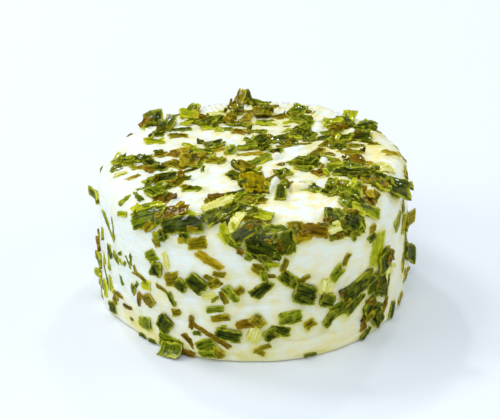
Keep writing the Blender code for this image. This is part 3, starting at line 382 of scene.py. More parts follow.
    (21.9, 1.6, 4.8, 4.0, -45, 0, 0.0, "olive"), (23.1, -3.0, 4.6, 4.2, -75, 0, 0.0, "brown"),
    (22.1, -9.0, 8.8, 3.9, -13, 1, 0.3, "dark"), (22.3, -6.6, 5.2, 2.0, -4, 1, 0.2, "mid"),
    (25.8, -5.4, 3.2, 1.6, 85, 0, 0.0, "ochre"), (27.9, -6.2, 5.0, 4.6, 30, 0, 0.0, "pale"),
    (31.0, 1.8, 3.6, 2.7, 15, 0, 0.2, "ochre"), (34.2, 3.9, 3.2, 1.7, -65, 0, 0.4, "ochre"),
    (35.0, -2.4, 4.6, 1.0, -85, 0, 0.2, "olive"), (20.8, -17.2, 6.8, 5.4, 88, 1, 0.2, "mid"),
    (22.5, -19.2, 5.0, 2.0, 85, 0, 0.0, "dark"), (20.4, -22.4, 4.2, 3.8, -20, 0, 0.0, "mid"),
    (22.4, -23.8, 3.0, 2.4, 0, 1, 0.0, "lime"), (25.3, -12.8, 3.7, 2.1, -6, 0, 0.0, "olive"),
    (28.2, -14.2, 3.7, 2.7, 38, 1, 0.3, "lime"), (31.4, -13.2, 4.0, 2.6, -30, 0, 0.0, "mid"),
    (29.5, -12.4, 6.8, 4.8, -18, 1, 3.2, "dark"), (26.6, -18.4, 3.4, 1.8, 78, 0, 0.0, "olive"),
    (25.0, -20.6, 3.1, 2.6, -40, 0, 0.0, "brown"), (25.3, -23.0, 5.2, 2.3, 12, 1, 0.0, "mid"),
    (17.6, -27.9, 5.2, 3.8, 0, 1, 0.2, "dark"), (21.0, -27.0, 5.4, 4.0, 5, 1, 0.2, "dark"),
    (23.0, -26.2, 4.4, 3.4, -40, 0, 0.0, "dark"), (17.2, -30.0, 3.1, 2.0, 35, 1, 0.1, "pale"),
    (18.4, -31.0, 3.6, 2.2, 20, 0, 0.0, "dark"), (22.3, -29.3, 5.6, 1.7, 26, 0, 0.0, "olive"),
    (13.0, -31.6, 5.8, 2.4, 7, 1, 0.0, "brown"), (11.0, -33.3, 4.6, 2.0, 20, 0, 0.0, "ochre"),
    (9.3, -31.2, 4.5, 2.0, 4, 0, 0.0, "olive"), (-4.4, -19.2, 5.0, 2.1, 22, 0, 0.0, "dark"),
    (-1.6, -22.2, 5.3, 4.5, -20, 1, 0.0, "mid"), (0.9, -21.9, 4.2, 2.8, -12, 0, 0.0, "olive"),
    (-8.6, -22.4, 4.1, 3.9, 20, 0, 0.0, "olive"), (-8.0, -20.6, 3.6, 1.2, 6, 1, 0.0, "brown"),
    (-7.3, -24.6, 8.6, 2.7, 38, 1, 0.2, "pale"), (-6.7, -27.7, 8.4, 3.4, 36, 1, 0.3, "dark"),
    (-3.9, -26.6, 4.3, 3.5, 60, 0, 0.0, "dark"), (-5.0, -30.6, 3.8, 2.8, 30, 0, 0.0, "dark"),
    (-3.8, -31.0, 5.7, 2.3, 60, 1, 0.0, "pale"), (0.0, -26.8, 3.3, 3.0, 40, 0, 0.0, "dark"),
    (2.2, -29.0, 3.9, 2.8, -22, 1, 0.2, "lime"), (2.6, -30.8, 2.4, 1.6, -35, 0, 0.0, "olive"),
    (0.3, -31.0, 4.3, 3.9, 10, 0, 0.0, "olive"), (-2.2, -33.5, 5.4, 2.9, 28, 1, 0.0, "dark"),
    (-6.1, -33.9, 2.9, 2.1, -55, 0, 0.0, "lime"), (-4.2, -35.6, 3.3, 1.8, -30, 0, 0.0, "mid"),
    (4.2, -32.4, 4.6, 1.9, 4, 0, 0.0, "mid"), (2.0, -35.8, 8.2, 4.6, -8, 1, 0.2, "dark"),
    (6.8, -35.2, 4.5, 4.8, -80, 1, 0.0, "dark"), (2.2, -38.1, 5.6, 3.2, -25, 0, 0.0, "dark"),
    (-1.0, -38.4, 2.2, 2.0, -20, 0, 0.0, "mid"), (7.8, 4.0, 5.2, 1.2, 6, 0, 0.0, "olive"),
    (16.9, 11.7, 3.0, 1.8, 10, 0, 0.0, "mid"), (-6.4, 13.6, 3.2, 1.4, -12, 0, 0.0, "mid"),
    (-1.2, 23.6, 2.6, 1.8, 10, 0, 0.0, "olive"), (2.8, 18.2, 4.0, 1.2, 4, 0, 0.0, "mid"),
    (8.3, 15.2, 3.2, 1.0, 6, 0, 0.0, "olive"), (23.4, 4.8, 4.4, 1.8, 4, 0, 0.0, "olive"),
    (-22.4, 13.2, 2.4, 1.6, 10, 0, 0.0, "mid"),
)

FAR_SEED = 20
FAR_COUNT = 56
FAR_FROM, FAR_TO = 99, 259
FAR_LOW, FAR_HIGH = 2.0, 30.5
FAR_APART = 3.1
FAR_KINDS = ("dark", "dark", "mid", "mid", "olive", "olive", "lime", "brown", "pale")


def far_side():
    """The litter of leaves on the side that is turned away, of the same sizes as those in front."""
    draw = random.Random(FAR_SEED)
    rows = []
    while len(rows) < FAR_COUNT:
        angle = draw.uniform(FAR_FROM, FAR_TO)
        height = draw.uniform(FAR_LOW, FAR_HIGH)
        length = draw.uniform(2.8, 6.2)
        width = min(length * 0.85, draw.uniform(1.3, 3.9))
        gaps = [math.hypot(math.radians(angle - row[0]) * DRUM_RADIUS, height - row[1]) for row in rows]
        if any(gap < FAR_APART for gap in gaps):
            continue
        layer = 1 if draw.random() < 0.3 else 0
        lift = draw.choice((0, 0, 0, 0.3, 0.8))
        kind = FAR_KINDS[len(rows) % len(FAR_KINDS)]
        rows.append((angle, height, length, width, draw.uniform(-80, 80), layer, lift * layer, kind))
    return rows


# Scraps of the same leaves lie over the larger cuts of a clump: what they may be, by what they lie on
SCRAPS_OF = {
    "dark": ("dark", "dark", "dark", "mid", "mid", "olive", "brown"),
    "mid": ("dark", "mid", "mid", "olive", "lime"),
    "olive": ("dark", "olive", "olive", "mid", "lime", "ochre"),
    "lime": ("mid", "lime", "lime", "dark"),
    "brown": ("brown", "olive", "dark", "ochre"),
    "ochre": ("olive",),
    "mustard": ("mustard", "dark"),
    "pale": ("pale", "lime"),
}
SCRAP_SEED = 5
SCRAPPED_FROM = 7
AREA_OF_ONE = 8.0
CLUMP_ON_SIDE = (40, 62, 2, 21)


def scraps(rows, seats, clumped):
    """Small torn bits over the larger leaves of the rows that are clumped."""
    draw = random.Random(SCRAP_SEED)
    found = []
    for row, seat in zip(rows, seats):
        length, width, turn, layer, lift, kind = row[2:]
        if not clumped(row) or length * width < SCRAPPED_FROM:
            continue
        for _ in range(round(length * width / AREA_OF_ONE)):
            u, v = draw.uniform(-0.58, 0.58) * length, draw.uniform(-0.62, 0.62) * width
            along = math.radians(turn)
            across = u * math.cos(along) - v * math.sin(along)
            rise = u * math.sin(along) + v * math.cos(along)
            size = draw.uniform(1.2, 2.6)
            scrap = (size, size * draw.uniform(0.35, 0.8), turn + draw.uniform(-70, 70), layer,
                     draw.choice((0.0, 0.0, 0.3, 0.6)), draw.choice(SCRAPS_OF[kind]))
            found.append((across, rise, seat, scrap))
    return found


def lean(x, y, z):
    """How much higher the leaning drum is here than an upright one."""
    return (RISE_RIGHT * x - DROP_BACK * y) / DRUM_RADIUS * z / DRUM_HEIGHT


def seat_side(angle, height, layer):
    """Shifts a place on the side so that a proud leaf on the real skin still looks in its place."""
    turn = math.radians(angle)
    x, y = DRUM_RADIUS * math.sin(turn), -DRUM_RADIUS * math.cos(turn)
    out = PROUD[layer] - 0.1 + pressed(np.array([[x, y, height]]))[0]
    facing = max(math.cos(turn), 0.0)
    share = min(facing / NEARLY_EDGE_ON, 1.0) / max(facing, NEARLY_EDGE_ON)
    set_back = out * math.sin(turn) * share
    raised = out * math.tan(ELEVATION) * share - lean(x, y, height)
    return angle - math.degrees(set_back / DRUM_RADIUS), height + raised


def seat_top(x, y):
    """The same on top, for the crown, the dents and the lean."""
    angle, run = math.atan2(x, -y), math.hypot(x, y)
    tilt = min(max((run - FLAT) / RIM_RADIUS, 0.0), math.pi / 2)
    radius = run if run < FLAT else FLAT + RIM_RADIUS * math.sin(tilt)
    high = WALL_HEIGHT + RIM_RADIUS * math.cos(tilt)
    plain = (radius * math.sin(angle), -radius * math.cos(angle), high)
    swollen = pressed(np.array([plain]))[0] + TOP_CROWN * max(1 - (radius / FLAT) ** 2, 0)
    rise = swollen * math.cos(tilt) + lean(*plain)
    steep = max(math.sin(ELEVATION + tilt * math.cos(angle)), 0.4)
    return x, y - rise * math.cos(ELEVATION) / steep


def side_place(angle, height):
    """Where a leaf at this place on the side has its points."""
    run = WALL + WALL_HEIGHT - height
    return lambda across, rise, out: skin(math.radians(angle) + across / DRUM_RADIUS, run - rise, out)


def top_place(x, y):
    """The same on top, where the rim counts as rolled flat."""
    return lambda across, rise, out: skin(
        np.arctan2(x + across, -y - rise), np.hypot(x + across, y + rise), out)


CELL = 0.27
RIB_PITCH, RIB_HEIGHT = 0.72, 0.045
LEAF_THICK = 0.34


def leaf(place, row, seed, crumple, raised=0.0):
    """One cut of leaf as a thin closed slab.

    Gives its points, its faces, and at each point what its colour needs: how near the cut edge is,
    a number of the leaf's own and whether it is on the underside, which gets painted shade, then its
    place along and across the leaf.
    """
    length, width, turn, layer, lift, kind = row
    draw = random.Random(seed)
    skew, taper = draw.uniform(-0.3, 0.3), draw.uniform(-0.22, 0.22)
    bow, arch = draw.uniform(-0.15, 0.15), draw.uniform(0.1, 0.3)
    draw.random()
    proud = PROUD[layer] + draw.uniform(-0.08, 0.08) + raised
    pitch, roll = draw.uniform(-0.9, 0.9) * crumple, draw.uniform(-0.9, 0.9) * crumple
    phase, own = draw.uniform(0, 6.28), draw.random()
    notch, notch_at = max(draw.uniform(-0.6, 0.4), 0), draw.uniform(-0.4, 0.4)
    rows_along = int(np.clip(length / CELL, 7, 30))
    rows_across = int(np.clip(width / CELL, 6, 18))
    s, t = np.meshgrid(np.linspace(-1, 1, rows_along), np.linspace(-1, 1, rows_across), indexing="ij")
    s, t = s.ravel(), t.ravel()
    from_edge = np.minimum((1 - np.abs(s)) * length / 2, (1 - np.abs(t)) * width / 2)
    torn_ends = 0.14 * np.sin(2.9 * t * width / 2 + phase)
    torn_ends = torn_ends + 0.09 * np.sin(7.3 * t * width / 2 + 2 * phase)
    torn_sides = 0.08 * np.sin(2.4 * s * length / 2 - phase)
    torn_sides = torn_sides + 0.05 * np.sin(6.1 * s * length / 2 + phase)
    wedge = np.maximum(1 - np.abs(t - notch_at) / 0.45, 0)
    s_in = s + (torn_ends / length * 2) * np.abs(s) ** 5 - notch * wedge * np.maximum(s, 0) ** 2
    t_in = t + (torn_sides / width * 2) * np.abs(t) ** 4
    t_in = t_in * (1 - 0.10 * np.abs(s) ** 6)
    u = (s_in + skew * t_in * width / length) * length / 2
    v = (t_in * (1 - taper * s_in) + bow * (s_in * s_in - 0.5)) * width / 2
    lie = np.stack([u, v, 0 * u + 3.7 * (seed % 97)], 1)
    free = np.clip((s + 0.1) / 1.1, 0, 1) ** 2
    out = proud - 0.12 + lift * free + 0.6 * arch * (1 - t * t) + pitch * s + roll * t
    out = out + RIB_HEIGHT * np.cos(2 * math.pi * v / RIB_PITCH + phase)
    out = out + crumple * (rough(lie, 1.5, 1) + 0.55 * rough(lie, 0.6, 2))
    out = out + 0.1 * np.sin(1.9 * s + phase)
    hangs = smooth(free * lift, 0.15, 0.5)
    thick = LEAF_THICK + (0.3 + 0.3 * layer + raised) * (1 - hangs)
    inward = 1 - 0.16 * (1 - hangs)
    cosine, sine = math.cos(math.radians(turn)), math.sin(math.radians(turn))

    def put(a, b, height):
        """Points on the cheese, from the places along and across the leaf."""
        return place(a * cosine - b * sine, a * sine + b * cosine, height)

    points = np.concatenate([put(u, v, out), put(u * inward, v * inward, out - thick)])
    points[:, 2] = np.maximum(points[:, 2], FOOT_CLEAR)
    count = len(s)
    index = np.arange(count).reshape(rows_along, rows_across)
    quads = np.stack([index[:-1, :-1], index[1:, :-1], index[1:, 1:], index[:-1, 1:]], -1)
    quads = quads.reshape(-1, 4)
    border = np.concatenate([index[:, 0], index[-1, 1:], index[-2::-1, -1], index[0, -2:0:-1]])
    after = np.roll(border, -1)
    rim = np.stack([border, border + count, after + count, after], 1)
    faces = np.concatenate([quads, quads[:, ::-1] + count, rim])
    # Near the cut edge the leaf is paler: partly its own colour, partly painted light through it
    edge = min(width / 2.2, 1.0) * bell(from_edge / min(0.30, 0.08 + 0.1 * width))
    upper = np.stack([edge, 0 * edge + own, 0 * edge], 1)
    # The lower points are marked for the painted shade that darkens the leaf towards its underside
    lower = np.stack([edge, 0 * edge + own, 0 * edge + 1], 1)
    return points, faces, np.concatenate([upper, lower]), np.tile(lie, (2, 1))


side_rows = SIDE + tuple(far_side())
side_seats = [seat_side(*row[:2], row[5]) for row in side_rows]
top_seats = [seat_top(*row[:2]) for row in TOP]
heaps = {}


def heap_up(kind, made):
    heaps.setdefault(kind, []).append(made)


def in_side_clump(row):
    from_angle, to_angle, low, high = CLUMP_ON_SIDE
    return from_angle < row[0] < to_angle and low < row[1] < high


TOP_CRUMPLE, SIDE_CRUMPLE, CLUMP_CRUMPLE, SCRAP_CRUMPLE = 0.20, 0.08, 0.16, 0.24
SCRAP_RAISED_TOP, SCRAP_RAISED_SIDE = 0.3, 0.25
for row, seat in zip(side_rows, side_seats):
    crumple = CLUMP_CRUMPLE if in_side_clump(row) else SIDE_CRUMPLE
    heap_up(row[7], leaf(side_place(*seat), row[2:], round(row[0] * 100 + row[1]), crumple))
for row, seat in zip(TOP, top_seats):
    heap_up(row[7], leaf(top_place(*seat), row[2:], round(row[0] * 100 + row[1]), TOP_CRUMPLE))
not_ochre = scraps(TOP, top_seats, lambda row: row[7] != "ochre")
for number, (across, rise, seat, scrap) in enumerate(not_ochre):
    place = top_place(seat[0] + across, seat[1] + rise)
    heap_up(scrap[5], leaf(place, scrap, number, SCRAP_CRUMPLE, SCRAP_RAISED_TOP))
for number, (across, rise, seat, scrap) in enumerate(scraps(side_rows, side_seats, in_side_clump)):
    place = side_place(seat[0] + math.degrees(across / DRUM_RADIUS), seat[1] + rise)
    heap_up(scrap[5], leaf(place, scrap, number, SIDE_CRUMPLE, SCRAP_RAISED_SIDE))


def mesh_piece(name, points, faces, vectors, material):
    """Makes a piece from points in millimetres, with named vectors kept at its points."""
    mesh = bpy.data.meshes.new(name)
    mesh.from_pydata((points * MM).tolist(), [], faces if isinstance(faces, list) else faces.tolist())
    for attribute_name, values in vectors.items():
        attribute = mesh.attributes.new(attribute_name, "FLOAT_VECTOR", "POINT")
        attribute.data.foreach_set("vector", np.asarray(values, np.float32).ravel())
    mesh.polygons.foreach_set("use_smooth", [True] * len(mesh.polygons))
    mesh.materials.append(material)
    piece = bpy.data.objects.new(name, mesh)
    bpy.context.scene.collection.objects.link(piece)
    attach(piece, "root")
    return piece


def noise_at(tree, where, scale, detail, **settings):
    """Noise at a place: the larger the scale, the finer it is."""
    settings = {"Scale": scale, "Detail": detail, **settings}
    return add(tree, "ShaderNodeTexNoise", settings, Vector=where).outputs["Fac"]


def times(tree, one, other):
    """The product of two values."""
    return add(tree, "ShaderNodeMath", {"operation": "MULTIPLY"}, i0=one, i1=other).outputs[0]


def tinted(tree, share, colour, under, blend="MIX"):
    """A colour laid over what is under it, by a share."""
    settings = {"data_type": "RGBA", "blend_type": blend, 7: linear(colour)}
    return add(tree, "ShaderNodeMix", settings, i0=share, i6=under).outputs[2]


# Painted shade: the leaf's colour is multiplied by this towards its underside, so that the sides of its
# slab darken downwards like a contact shadow.
UNDER_SHADE_PAINT = "#A8A47C"


def wet_leaf(name, core, light, rim):
    """Chopped chive: a leaf full of water. Its cut edge, and the leaf in places, are paler and
    yellower:
    partly their own colour, partly painted light that comes through the leaf. Its veins run lengthwise;
    the film of sap on it gives small hard highlights."""
    made = bpy.data.materials.new(name)
    made.use_nodes = True
    tree = made.node_tree
    shader = tree.nodes["Principled BSDF"]
    look = add(tree, "ShaderNodeAttribute", {"attribute_name": "leaf_colour"}).outputs["Vector"]
    edge, own, under = add(tree, "ShaderNodeSeparateXYZ", Vector=look).outputs
    lie = add(tree, "ShaderNodeAttribute", {"attribute_name": "leaf_lie"}).outputs["Vector"]
    long = add(tree, "ShaderNodeMapping", {"Scale": (0.13, 1.0, 1.0)}, Vector=lie).outputs["Vector"]
    veins = mapped(tree, noise_at(tree, long, 2.1, 2.0, Roughness=0.6), 0.40, 0.62)
    patches = noise_at(tree, lie, 0.55, 3.0, Roughness=0.6)
    settings = {"data_type": "RGBA", 6: linear(core), 7: linear(light)}
    colour = add(tree, "ShaderNodeMix", settings, i0=veins).outputs[2]
    # Paler, yellower patches and cut edges: partly the leaf's own colour, partly painted light through
    # it
    colour = tinted(tree, times(tree, own, mapped(tree, patches, 0.46, 0.74, 0.0, 0.6)), rim, colour)
    thinned = mapped(tree, noise_at(tree, lie, 0.8, 1.0), 0.38, 0.58, 0.25)
    colour = tinted(tree, times(tree, edge, thinned), rim, colour)
    # Painted shade towards the underside of the slab
    colour = tinted(tree, under, UNDER_SHADE_PAINT, colour, "MULTIPLY")
    tree.links.new(colour, shader.inputs["Base Color"])
    tree.links.new(mapped(tree, patches, 0.0, 1.0, 0.28, 0.5), shader.inputs["Roughness"])
    bump = add(tree, "ShaderNodeBump", {"Strength": 1.0, "Distance": 0.42 * MM},
               Height=noise_at(tree, lie, 1.7, 2.0))
    tree.links.new(bump.outputs["Normal"], shader.inputs["Normal"])
    shader.inputs["IOR"].default_value = 1.4
    shader.inputs["Specular IOR Level"].default_value = 0.02
    facing = add(tree, "ShaderNodeNewGeometry").outputs["Normal"]
    facing = add(tree, "ShaderNodeSeparateXYZ", Vector=facing).outputs["Z"]
    tree.links.new(mapped(tree, facing, 0.45, 0.95, 0.14, 1.0), shader.inputs["Coat Weight"])
    shader.inputs["Coat IOR"].default_value = 1.33
    shader.inputs["Coat Roughness"].default_value = 0.07
    return made


# Each kind of leaf: piece, finish, colours of its core, its lighter veins and its cut edge, slot.
# The cut edge colour is partly the leaf's own and partly painted light that comes through it.
KINDS = {
    "dark": ("chive_dark", "wet dark green chive leaf", "#141A00", "#465202", "#BCBE28", "chive"),
    "mid": ("chive_green", "wet green chive leaf", "#2C3800", "#788604", "#D4D638", "chive"),
    "olive": ("chive_olive", "wet olive green leaf", "#423A00", "#8A7A00", "#D8C630", "chive"),
    "lime": ("chive_lime", "pale green inner leaf", "#7C8800", "#BABE0A", "#E4E03C", "chive"),
    "brown": ("chive_brown", "browned leaf end", "#3E2E00", "#7E6200", "#BE981C", "chive"),
    "ochre": ("chive_ochre", "yellowed leaf strip", "#806A00", "#B89E0C", "#DCC234", "chive"),
    "mustard": ("chive_mustard", "yellow olive leaf sheath", "#6A5A00", "#A89400", "#DAC818", "chive"),
    "pale": ("leek_pale", "pale translucent stem cut", "#D2CC58", "#EEEEA8", "#E4D83C", "leek_white"),
}
for kind, (name, finish, core, light, rim, slot) in KINDS.items():
    points, faces, colours, lies, start = [], [], [], [], 0
    for leaf_points, leaf_faces, leaf_colour, leaf_lie in heaps[kind]:
        points.append(leaf_points)
        faces.append(leaf_faces + start)
        colours.append(leaf_colour)
        lies.append(leaf_lie)
        start += len(leaf_points)
    vectors = {"leaf_colour": np.concatenate(colours), "leaf_lie": np.concatenate(lies)}
    piece = mesh_piece(name, np.concatenate(points), np.concatenate(faces), vectors,
                       wet_leaf(finish, core, light, rim))
    piece.data.set_sharp_from_angle(angle=math.radians(50))


# The cheese, pressed round the leaves.
# The same drum with its worked surface: smeared on top, pleated at the back of the rim, dragged in
# level lines round the side, swollen against each leaf and painted yellow green round it, partly as
# the stain of its juice and partly as painted light that comes through the leaf.

TURNS = 560
SKIN_STEP = 0.42
skin_end = WALL + WALL_HEIGHT - FOOT_RADIUS
skin_runs = np.append(np.arange(0.6, skin_end, SKIN_STEP), skin_end)
drum_run = np.repeat(skin_runs, TURNS)
drum_angle = np.tile(np.arange(TURNS) * 2 * math.pi / TURNS, len(skin_runs))

# Dabs of cheese dragged over the herbs: x, y, length, width, turn, height
DABS = (
    (15.6, -5.0, 4.4, 2.0, 88, 1.3), (14.6, 13.6, 6.2, 3.0, 75, 1.0), (4.2, -16.0, 8.4, 1.7, 72, 1.0),
    (10.0, -17.5, 5.0, 2.0, -4, 1.4), (3.2, -8.2, 4.4, 3.4, 20, 0.7), (9.5, 2.4, 5.0, 2.2, 25, 0.6),
    (22.8, 12.0, 3.2, 1.8, 60, 0.7), (-6.8, 14.6, 3.4, 1.6, 12, 0.5), (5.1, -2.1, 2.2, 1.8, 20, 1.3),
)
# Creases on the side: angle, height, half length in degrees, half width in mm, depth, slope
CREASES = (
    (22, 5.0, 14, 0.35, -0.4, 0.0), (-25, 13.4, 11, 0.35, -0.3, 0.02),
    (-24, 15.0, 9, 0.35, -0.25, 0.03), (-2, 0.6, 7, 0.5, -0.5, 0.0),
    (5, 14.5, 12, 0.3, -0.22, -0.02), (38, 17.0, 8, 0.3, -0.25, 0.03),
    (40, 2.6, 14, 0.3, -0.25, 0.01), (-8, 27.0, 14, 0.4, -0.2, 0.02),
)
# Yellow on the side: juice that has run into it, painted bounce light low on the right, and painted
# contact shade in the thin rings at the foot. Angle, height, spread in degrees, spread in mm, amount
SEEP_AND_PAINTED_LIGHT = (
    (32, 3, 30, 6, 0.60), (62, 10, 18, 9, 0.45), (5, 1, 26, 3.5, 0.60), (76, 22, 14, 8, 0.30),
    (-46, 3, 16, 3.5, 1.00), (-25, 1, 20, 3.0, 0.60), (34, 14, 40, 18, 0.30),
    (180, 12, 70, 14, 0.30), (2, 0.3, 26, 1.1, 0.75), (-24, 0.2, 20, 1.0, 0.85),
    (36, 0.5, 22, 1.2, 0.80), (74, 10, 9, 8, 0.50), (-34, 13, 7, 5, 0.50),
)
# and puddles of it on top: x, y, half length, half width, amount
PUDDLES = (
    (12.8, -21.8, 1.1, 0.9, 1.0), (11.8, -11.4, 4.6, 1.3, 0.50), (27.5, 2.0, 6.0, 6.0, 0.65),
    (26.5, -11.0, 3.5, 2.5, 0.40), (-15.5, 6.5, 5.0, 2.5, 0.25), (6.0, 10.0, 6.0, 1.5, 0.20),
    (27.0, 11.0, 4.0, 4.0, 0.40),
)

flat_x, flat_y = drum_run * np.sin(drum_angle), -drum_run * np.cos(drum_angle)
height_up = WALL + WALL_HEIGHT - drum_run
degrees = (np.degrees(drum_angle) + 180) % 360 - 180
arc = np.radians(degrees) * DRUM_RADIUS
plain_drum = skin(drum_angle, drum_run, 0.0)
on_top = 1 - smooth(drum_run, FLAT - 2, WALL - 1)

SMEAR_TURN = math.radians(38)
smear_u = flat_x * math.cos(SMEAR_TURN) + flat_y * math.sin(SMEAR_TURN)
smear_v = -flat_x * math.sin(SMEAR_TURN) + flat_y * math.cos(SMEAR_TURN)
warp = 1.2 * rough(plain_drum, 5, 9)
smears = rough(np.stack([smear_u / 3.6, (smear_v + warp) / 1.3, 0 * smear_u], 1), 1.0, 3)
drags = np.stack([7 * np.cos(drum_angle), 7 * np.sin(drum_angle), (drum_run + warp) / 1.2], 1)
drags = rough(drags, 1.0, 8)
PLEAT = 1.5
pleats = np.sin(arc / PLEAT * 2 * math.pi + 2.5 * rough(plain_drum, 5, 5))
pleated = smooth(drum_run, 21, 27) * (1 - smooth(drum_run, 36, 42)) * smooth(np.abs(degrees), 55, 75)
worked = 0.25 * rough(plain_drum, 6, 1) + 0.12 * rough(plain_drum, 2.2, 2)
worked += 0.05 * rough(plain_drum, 0.9, 4)
worked += on_top * 0.45 * (0.25 - np.abs(smears))
worked += (1 - on_top) * 0.22 * (0.25 - np.abs(drags))
worked += pleated * 0.2 * pleats
for angle, height, half, thin, depth, slope in CREASES:
    off = degrees - angle
    line = height + slope * off + 0.3 * np.sin(off / 2.5)
    worked += depth * bell(off / half) * bell((height_up - line) / thin)
# Creamier and more stained towards the right, away from the light, and whiter on the left where the
# light falls: painted light and shade.
WARM_FROM, WARM_TO = -30, 0
warm_side = smooth(plain_drum[:, 0], WARM_FROM, WARM_TO)
low_places = (0.18 + 0.36 * on_top + 0.55 * smooth(-worked, -0.2, 0.25)) * (0.15 + 0.85 * warm_side)

# Round each leaf the curd is swollen to a lip and under it there is a hollow. The curd round it is
# also painted yellow green: partly juice that has run from the leaf, partly painted light that comes
# through the leaf, and so the mark is moved down and towards the camera.
LIP_HEIGHT, LIP_WIDTH = 0.26, 0.5
HOLLOW_DEPTH = 0.3
STAIN_GLOW_SHIFT, STAIN_GLOW_SPREAD = 0.3, 0.75
LEAF_REACH = 9
stain_and_glow = np.zeros(len(drum_run))
hollow = np.zeros(len(drum_run))
lip = np.zeros(len(drum_run))
placed = [(row, seat, "side") for row, seat in zip(side_rows, side_seats)]
placed += [(row, seat, "top") for row, seat in zip(TOP, top_seats)]
for row, seat, where in placed:
    length, width, turn, layer, lift, kind = row[2:]
    if where == "side":
        across = ((np.radians(degrees - seat[0]) + math.pi) % (2 * math.pi) - math.pi) * DRUM_RADIUS
        rise = height_up - seat[1]
    else:
        across, rise = flat_x - seat[0], flat_y - seat[1]
        across = np.where(drum_run > FLAT + 18, 99, across)
    near = np.nonzero((np.abs(across) < LEAF_REACH) & (np.abs(rise) < LEAF_REACH))[0]
    along = math.radians(turn)
    strength = 0.55 + 0.3 * random.Random(row[0] * 7 + row[1]).random()

    def outside(shift):
        """How far outside the leaf each near point is, with the leaf moved up by a shift."""
        u = across[near] * math.cos(along) + (rise[near] - shift) * math.sin(along)
        v = -across[near] * math.sin(along) + (rise[near] - shift) * math.cos(along)
        reach = (np.abs(u * 2 / length) ** 4 + np.abs(v * 2 / width) ** 4) ** 0.25
        return (reach - 1) * width / 2

    gap = outside(0)
    lip[near] = np.maximum(lip[near], LIP_HEIGHT * bell((gap - 0.15) / LIP_WIDTH))
    hollow[near] = np.maximum(hollow[near], HOLLOW_DEPTH * (1 - smooth(gap, -0.8, -0.1)))
    # Juice stain and painted light through the leaf, moved down and towards the camera
    stain_glow_here = bell(np.maximum(outside(-STAIN_GLOW_SHIFT), 0) / STAIN_GLOW_SPREAD)
    stain_and_glow[near] = np.maximum(stain_and_glow[near], strength * stain_glow_here)
worked += lip - hollow
# Painted light: the stains are fainter on the lit left
stain_and_glow *= 0.38 + 0.62 * warm_side

seep_and_painted_light = np.zeros(len(drum_run))
for angle, height, spread, tall, amount in SEEP_AND_PAINTED_LIGHT:
    off = (degrees - angle + 180) % 360 - 180
    here = amount * bell(off / spread) * bell((height_up - height) / tall) * (1 - on_top)
    seep_and_painted_light = np.maximum(seep_and_painted_light, here)
for x, y, half_length, half_width, amount in PUDDLES:
    here = amount * bell((flat_x - x) / half_length) * bell((flat_y - y) / half_width)
    seep_and_painted_light = np.maximum(seep_and_painted_light, here * (drum_run < FLAT + 9))

for x, y, length, width, turn, height in DABS:
    along = math.radians(turn)
    u = ((flat_x - x) * math.cos(along) + (flat_y - y) * math.sin(along)) / (length / 2)
    v = (-(flat_x - x) * math.sin(along) + (flat_y - y) * math.cos(along)) / (width / 2)
    wobble = np.maximum(1 + 1.1 * rough(plain_drum, 1.3, 11), 0.6)
    dome = np.clip(1 - (np.abs(u) ** 2.5 + np.abs(v) ** 2.5) * wobble, 0, 1) ** 0.5
    worked = np.where(dome > 0, np.maximum(worked, height * dome + 0.3 * worked), worked)
    stain_and_glow = stain_and_glow * (1 - 0.9 * smooth(dome, 0, 0.5))

foot_fade = smooth(height_up, 0.5, 2.5)
skin_points = skin(drum_angle, drum_run, worked * (0.35 + 0.65 * foot_fade))
skin_points[:, 2] = np.maximum(skin_points[:, 2], 0.3)
rings = [skin_points]
last_ring = skin_points[-TURNS:]
for inset, height in ((0.25, 0.35), (0.75, 0.08), (1.6, 0.0)):
    ring = last_ring * (1 - inset / DRUM_RADIUS, 1 - inset / DRUM_RADIUS, 0)
    ring[:, 2] = height
    rings.append(ring)
UNDER_RINGS = 9
for step in range(1, UNDER_RINGS):
    share = 1 - step / UNDER_RINGS
    ring = rings[3] * (share, share, 0)
    ring[:, 2] = 0.12 + 0.08 * rough(ring, 3, 6)
    rings.append(ring)
top_middle = skin(np.zeros(1), np.zeros(1), np.full(1, worked[:TURNS].mean()))
points = np.concatenate(rings + [top_middle, np.array([[0, 0, 0.12]])])
skin_count, all_count = len(skin_points), len(points)


def to_all(values, rest):
    """The values of the skin's points, and the same number for all those underneath."""
    return np.concatenate([values, np.full(all_count - skin_count, rest)])


# Juice stain and painted light round the leaves, cream in low places, and where the top is
stain_glow_and_cream = np.stack([to_all(stain_and_glow, 0.1), to_all(low_places, 0.3), to_all(on_top, 0.0)], 1)
# The points under the foot get the yellow too, as painted contact shade
lie = np.stack([to_all(arc, 0.0), to_all(drum_run, 70.0), to_all(seep_and_painted_light, 0.6)], 1)
index = np.arange(len(rings[0]) + TURNS * (len(rings) - 1)).reshape(-1, TURNS)
right = np.roll(index, -1, 1)
faces = np.stack([index[:-1], index[1:], right[1:], right[:-1]], -1).reshape(-1, 4).tolist()
faces += [(all_count - 2, a, b) for a, b in zip(index[0].tolist(), right[0].tolist())]
faces += [(all_count - 1, b, a) for a, b in zip(index[-1].tolist(), right[-1].tolist())]
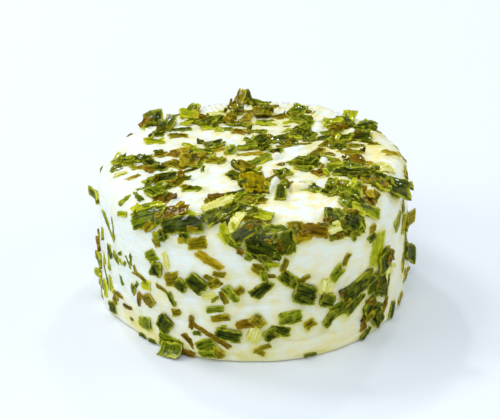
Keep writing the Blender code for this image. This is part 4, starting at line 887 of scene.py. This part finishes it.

# Fresh curd: white with cream in its hollows, faint level lines, yellow where juice seeps, with
# painted bounce light low on the right and painted contact shade at the foot, yellow green round the
# leaves as juice stain and painted light through them, whiter on the lit left as painted light, and
# the soft shine of something moist that light goes a little way into
curd = bpy.data.materials.new("fresh white curd cheese")
curd.use_nodes = True
tree = curd.node_tree
shader = tree.nodes["Principled BSDF"]
spot = add(tree, "ShaderNodeTexCoord").outputs["Object"]
seen = add(tree, "ShaderNodeAttribute", {"attribute_name": "stain_glow_and_cream"}).outputs["Vector"]
stain_and_glow_in, low_place, upper_face = add(tree, "ShaderNodeSeparateXYZ", Vector=seen).outputs
along_skin = add(tree, "ShaderNodeAttribute", {"attribute_name": "skin_lie"}).outputs["Vector"]
seep_and_light = add(tree, "ShaderNodeSeparateXYZ", Vector=along_skin).outputs["Z"]
cloudy = mapped(tree, noise_at(tree, spot, 420.0, 3.0, Roughness=0.6), 0.44, 0.66, 0.0, 1.2)
white = {"data_type": "RGBA", 6: linear("#EDF4F0"), 7: linear("#F3E6AE")}
colour = add(tree, "ShaderNodeMix", white, i0=times(tree, cloudy, low_place)).outputs[2]
drawn = add(tree, "ShaderNodeMapping", {"Scale": (0.10, 0.75, 0.0)}, Vector=along_skin)
lines = noise_at(tree, drawn.outputs["Vector"], 1.0, 3.0, Distortion=0.8)
from_line = add(tree, "ShaderNodeMath", {"operation": "SUBTRACT", 1: 0.5}, i0=lines).outputs[0]
from_line = add(tree, "ShaderNodeMath", {"operation": "ABSOLUTE"}, i0=from_line).outputs[0]
aside = add(tree, "ShaderNodeMath", {"operation": "SUBTRACT", 0: 1.0}, i1=upper_face).outputs[0]
lined = times(tree, mapped(tree, from_line, 0.0, 0.05, 0.35, 0.0), aside)
colour = tinted(tree, lined, "#E6DAA0", colour)
patchy = mapped(tree, noise_at(tree, spot, 520.0, 3.0), 0.3, 0.66, 0.45, 1.0)
# Yellow where juice seeps, with painted bounce light low on the right and painted contact shade at the
# foot
colour = tinted(tree, times(tree, seep_and_light, patchy), "#EFDC6A", colour)
# Yellow green round the leaves: juice stain and painted light that comes through them
colour = tinted(tree, times(tree, stain_and_glow_in, patchy), "#DACE48", colour)
tree.links.new(colour, shader.inputs["Base Color"])
shader.inputs["Roughness"].default_value = 0.4
shader.inputs["IOR"].default_value = 1.4
shader.inputs["Specular IOR Level"].default_value = 0.35
shader.inputs["Subsurface Weight"].default_value = 0.35
shader.inputs["Subsurface Radius"].default_value = (1.0, 0.85, 0.5)
shader.inputs["Subsurface Scale"].default_value = 0.8 * MM
crumb = noise_at(tree, spot, 1100.0, 4.0, Roughness=0.65)
bump = add(tree, "ShaderNodeBump", {"Strength": 0.3, "Distance": 0.25 * MM}, Height=crumb)
tree.links.new(bump.outputs["Normal"], shader.inputs["Normal"])
cheese = mesh_piece("fresh_cheese", points, faces, {"stain_glow_and_cream": stain_glow_and_cream, "skin_lie": lie}, curd)
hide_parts("herbed_cream_cheese")
